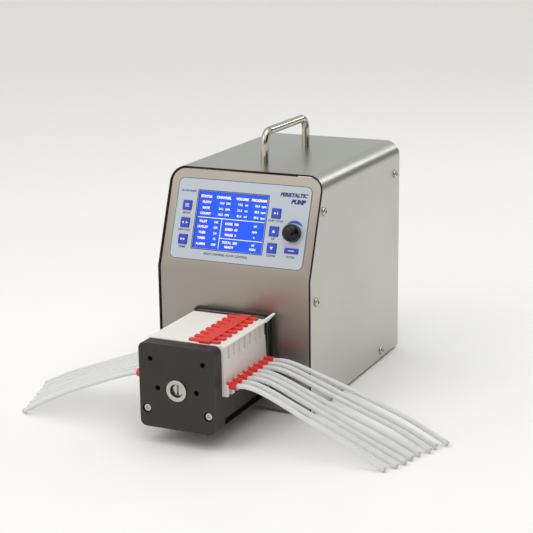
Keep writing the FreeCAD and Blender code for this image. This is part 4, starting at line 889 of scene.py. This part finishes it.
# ---------------------------------------------------------------- pump head
def make_head_frame():
    """The black plates with a painted highlight along their edges, the spacer, and the rail with fine grooves
    along it.
    """
    for node in ("front_end_plate", "rear_end_plate", "mounting_flange"):
        refine(node, [black_metal, painted_edge_highlight], 0.5, 2)
    refine("spacer_frame", bare_metal, 0.3)
    rail = copy_of_node("base_rail", "base_rail_finished")
    low, high = (corner.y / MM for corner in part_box("base_rail"))
    carve(rail, [
        bar("groove", (side * 38 - 0.35, low + 2, height), (side * 38 + 0.35, high - 2, height + 0.6))
        for side in (1, -1) for height in (29.5, 31.2)
    ])
    rail.data.materials.clear()
    for material in (black_metal, painted_edge_highlight):
        rail.data.materials.append(material)
    # The rail's rounded edges also take the painted edge highlight.
    break_edges(rail, 0.3, 2, slot=1)
    smooth(rail)
    finish(rail, black_metal, "cabinet", ["base_rail"])


PLATE_SCREW_X, PLATE_SCREW_Z = 30.9, 33.3


def make_head_screws():
    """The head's screws; the two that show, down in the front plate, have hexagon sockets."""
    screws = copy_of_node("head_screws", "head_screws_finished")
    carve(screws, [
        cylinder("socket", 1.7, 5.0, (side * PLATE_SCREW_X, HEAD_FRONT_Y, PLATE_SCREW_Z), "y", 6)
        for side in (1, -1)
    ])
    screws.data.materials.clear()
    break_edges(screws, 0.55, 4)
    smooth(screws, 45)
    finish(screws, screw_steel, "cabinet", ["head_screws"])


def make_bearings():
    """The bearings, with a dark ring down in the front one's mouth: painted shade in the bore."""
    refine("shaft_bearings", ground_steel, 0.9, 4)
    # A dark ring standing in for the shade down in the bore.
    mouth_shade = ring("bearing_mouth_shade_ring", 6.15, 0.6, 1.0, (0, HEAD_FRONT_Y + 1.5, SHAFT_Z), "y", 96)
    smooth(mouth_shade, 50)
    finish(mouth_shade, rubber, "cabinet")


def make_rotor():
    """The shaft and the roller carrier, seen between the cassettes when one is lifted."""
    refine("drive_shaft", ground_steel, 0.7, 3)
    refine("rotor_carrier", bare_metal, 0.2)
    refine("rollers", ground_steel, 0.4, 3)


SLOT_HALF, SLOT_LOW, SLOT_HIGH = 2.0, 81.2, 92.6
RIB_HALF, RIB_LOW, RIB_HIGH = 0.14, 64, 78.6


def cassette_pattern():
    """The first cassette: half finger slots high on both its edges, and shallow ribs on its right face."""
    cassette = copy_of_node("cassette_1", "cassette_pattern")
    y = channel_y(1)
    begin_edit(cassette)
    for side in (1, -1):
        pick(cassette, "VERT", lambda vert: (vert.co.y / MM - y) * side > 5.3)
        bpy.ops.transform.translate(value=(0, side * 0.08 * MM, 0))
    end_edit()
    cutters = []
    for edge in (y + PITCH / 2, y - PITCH / 2):
        front, back = edge - SLOT_HALF, edge + SLOT_HALF
        cutters.append(bar("slot", (37.6, front, SLOT_LOW), (42, back, SLOT_HIGH)))
        cutters.append(bar("slot", (-36, front, SLOT_LOW), (-33.4, back, SLOT_HIGH)))
    for middle in (y - 3.6, y - 1.2, y + 1.2, y + 3.6):
        cutters.append(bar("rib", (39.35, middle - RIB_HALF, RIB_LOW), (39.62, middle + RIB_HALF, RIB_HIGH)))
    carve(cassette, cutters)
    cassette.data.materials.clear()
    break_edges(cassette, 0.1, 2, limit=42)
    smooth(cassette, 40)
    return cassette


def make_cassettes():
    """Eight copies of the first cassette, each on its own body."""
    pattern_piece = cassette_pattern()
    first = channel_y(1)
    for channel in CHANNELS:
        shift = channel_y(channel) - first
        cassette = copies(pattern_piece, f"cassette_{channel}_finished", [(0, shift, 0)])[0]
        finish(cassette, acetal, f"cassette_body_{channel}", [f"cassette_{channel}"])
    bpy.data.objects.remove(pattern_piece)


def make_lip_end():
    """The lip's end behind the last cassette: a blade that flares out and up beside the rear plate."""
    low, high = (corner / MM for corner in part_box("cassette_8"))
    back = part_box("mounting_flange")[0].y / MM
    blade = bar("lip_blade", (38.3, high.y - 0.2, high.z - 3.4), (41, back - 0.3, high.z))
    begin_edit(blade)
    for upper, lift in ((True, 3.8), (False, 6.2)):
        pick(blade, "VERT", lambda v: v.co.y / MM > back - 1 and (v.co.z / MM > high.z - 1) == upper)
        bpy.ops.transform.translate(value=(4.4 * MM, 0, lift * MM))
    end_edit()
    break_edges(blade, 0.3, 2)
    smooth(blade)
    finish(blade, acetal, "cassette_body_8")


def make_adjusters():
    """The red pressure sliders, with rounded finger tips."""
    for channel in CHANNELS:
        name = f"adjuster_{channel}"
        piece = copy_of_node(name, f"{name}_finished")
        low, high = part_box(name)
        begin_edit(piece)

        def at_tip(edge):
            a, b = (v.co for v in edge.verts)
            upright = abs(a.x - b.x) < 1e-6 and abs(a.y - b.y) < 1e-6
            return upright and (abs(a.x - low.x) < 1e-5 or abs(a.x - high.x) < 1e-5)

        pick(piece, "EDGE", at_tip)
        bpy.ops.mesh.bevel(offset=1.3 * MM, segments=5)
        end_edit()
        break_edges(piece, 0.35, 3, limit=50)
        smooth(piece, 45)
        finish(piece, red, BODY_OF[name], [name])


# ---------------------------------------------------------------- back and inside
def make_back():
    """The mains inlet with its rocker, and the signal connector."""
    refine("power_entry_module", nylon, 0.4, 2)
    refine("power_rocker", knob_black, 0.35, 3)
    refine("signal_connector", screw_steel, 0.2)


def make_inside():
    """What the closed cabinet and the cassettes hold."""
    refine("control_board", laminate, 0.1, 1)
    refine("encoder_shaft", screw_steel, 0.3)
    refine("drive_motor", [motor_black, bare_metal], 0.6)
    refine("power_supply", zinc_sheet, 0.5)
    refine("tube_loops", silicone, 0)


# ---------------------------------------------------------------- floor, light and camera
def make_stage():
    """A plain pale bench."""
    start()
    bpy.ops.mesh.primitive_plane_add(size=24, location=(0, 0, 0))
    floor = made("bench")
    material, shader = new_material("pale bench top", "#FAFAFA", 0.6)
    floor.data.materials.append(dress(material, shader, gloss=(grains(material, 40), 0.55, 0.7)))


def make_world():
    """White to the camera; for reflections a room, bright in front, greyer behind, dark at its right."""
    world = bpy.data.worlds.new("studio")
    bpy.context.scene.world = world
    world.use_nodes = True
    way = add(world, "ShaderNodeTexCoord").outputs["Generated"]

    def toward(direction, near, far):
        """How far a ray points toward a direction: 0 at near, 1 at far."""
        dot = add(world, "ShaderNodeVectorMath", {0: way, 1: direction}, operation="DOT_PRODUCT")
        return add(
            world, "ShaderNodeMapRange", {"Value": dot.outputs["Value"], "From Min": near, "From Max": far},
            interpolation_type="SMOOTHSTEP",
        ).outputs["Result"]

    def tint(share, first, second):
        return add(world, "ShaderNodeMix", {"Factor": share, "A": first, "B": second},
                   data_type="RGBA").outputs["Result"]

    room = tint(toward((0, 1, 0), -0.7, 0.8), linear("#F6F2EC"), linear("#C6C8C5"))
    patches = [
        ((-0.41, -0.83, 0.38), 0.82, 0.97, (1.12, 1.09, 1.05, 1)),
        ((0.97, -0.1, 0.2), 0.72, 0.95, linear("#3A3836")),
        ((0.4, -0.9, 0.1), 0.86, 0.97, linear("#5A5754")),
        ((0.47, 0.88, 0.03), 0.93, 0.99, linear("#6E6E6A")),
    ]
    for direction, near, far, colour in patches:
        room = tint(toward(direction, near, far), room, colour)
    seen = add(world, "ShaderNodeLightPath").outputs["Is Camera Ray"]
    room = tint(seen, room, linear("#FFFFFF"))
    world.node_tree.nodes["Background"].inputs["Strength"].default_value = 1.1
    world.node_tree.links.new(room, world.node_tree.nodes["Background"].inputs["Color"])
    bpy.context.scene.view_settings.view_transform = "Standard"


def softbox(name, place, target, width, height, power):
    """A soft rectangular lamp, sizes in metres and power in watts, turned to its target."""
    light = bpy.data.lights.new(name, "AREA")
    light.shape, light.size, light.size_y, light.energy = "RECTANGLE", width, height, power
    lamp = bpy.data.objects.new(name, light)
    bpy.context.collection.objects.link(lamp)
    lamp.location = place
    lamp.rotation_euler = (Vector(target) - Vector(place)).to_track_quat("-Z", "Y").to_euler()


def make_lights():
    """A key light from the left front, a large one overhead, and a narrow one behind for the edges."""
    softbox("key_softbox", (-0.9, -1.4, 1.7), (0, 0, 0.1), 0.9, 0.9, 5)
    softbox("overhead_softbox", (0.2, -0.1, 1.9), (0, 0, 0), 1.4, 1.4, 9)
    softbox("edge_softbox", (0.6, 1.7, 1.0), (0, 0, 0.15), 0.16, 0.7, 1.6)


LOOK_AT = Vector((10.3, -9.5, 127.6)) * MM
AZIMUTH, ELEVATION, ROLL = (math.radians(angle) for angle in (25.07, 14.775, -0.735))
DISTANCE = 1.4291
LENS, SENSOR = 99.22, 36.0


def make_camera():
    """A long lens from the right front, a little above."""
    data = bpy.data.cameras.new("camera")
    data.lens, data.sensor_width = LENS, SENSOR
    camera = bpy.data.objects.new("camera", data)
    bpy.context.collection.objects.link(camera)
    back = Vector((math.sin(AZIMUTH) * math.cos(ELEVATION), -math.cos(AZIMUTH) * math.cos(ELEVATION),
                   math.sin(ELEVATION)))
    right = Vector((math.cos(AZIMUTH), math.sin(AZIMUTH), 0))
    up = back.cross(right)
    rolled_right = right * math.cos(ROLL) + up * math.sin(ROLL)
    rolled_up = up * math.cos(ROLL) - right * math.sin(ROLL)
    turn = Matrix((rolled_right, rolled_up, back)).transposed()
    camera.matrix_world = Matrix.Translation(LOOK_AT + back * DISTANCE) @ turn.to_4x4()
    bpy.context.scene.camera = camera


make_cabinet()
make_carry_handle()
make_cover_screws()
make_overlay()
make_display()
make_keys()
make_knob()
make_head_frame()
make_head_screws()
make_bearings()
make_rotor()
make_cassettes()
make_lip_end()
make_adjusters()
make_stop_collars()
make_pump_tubes()
make_back()
make_inside()
make_stage()
make_world()
make_lights()
make_camera()
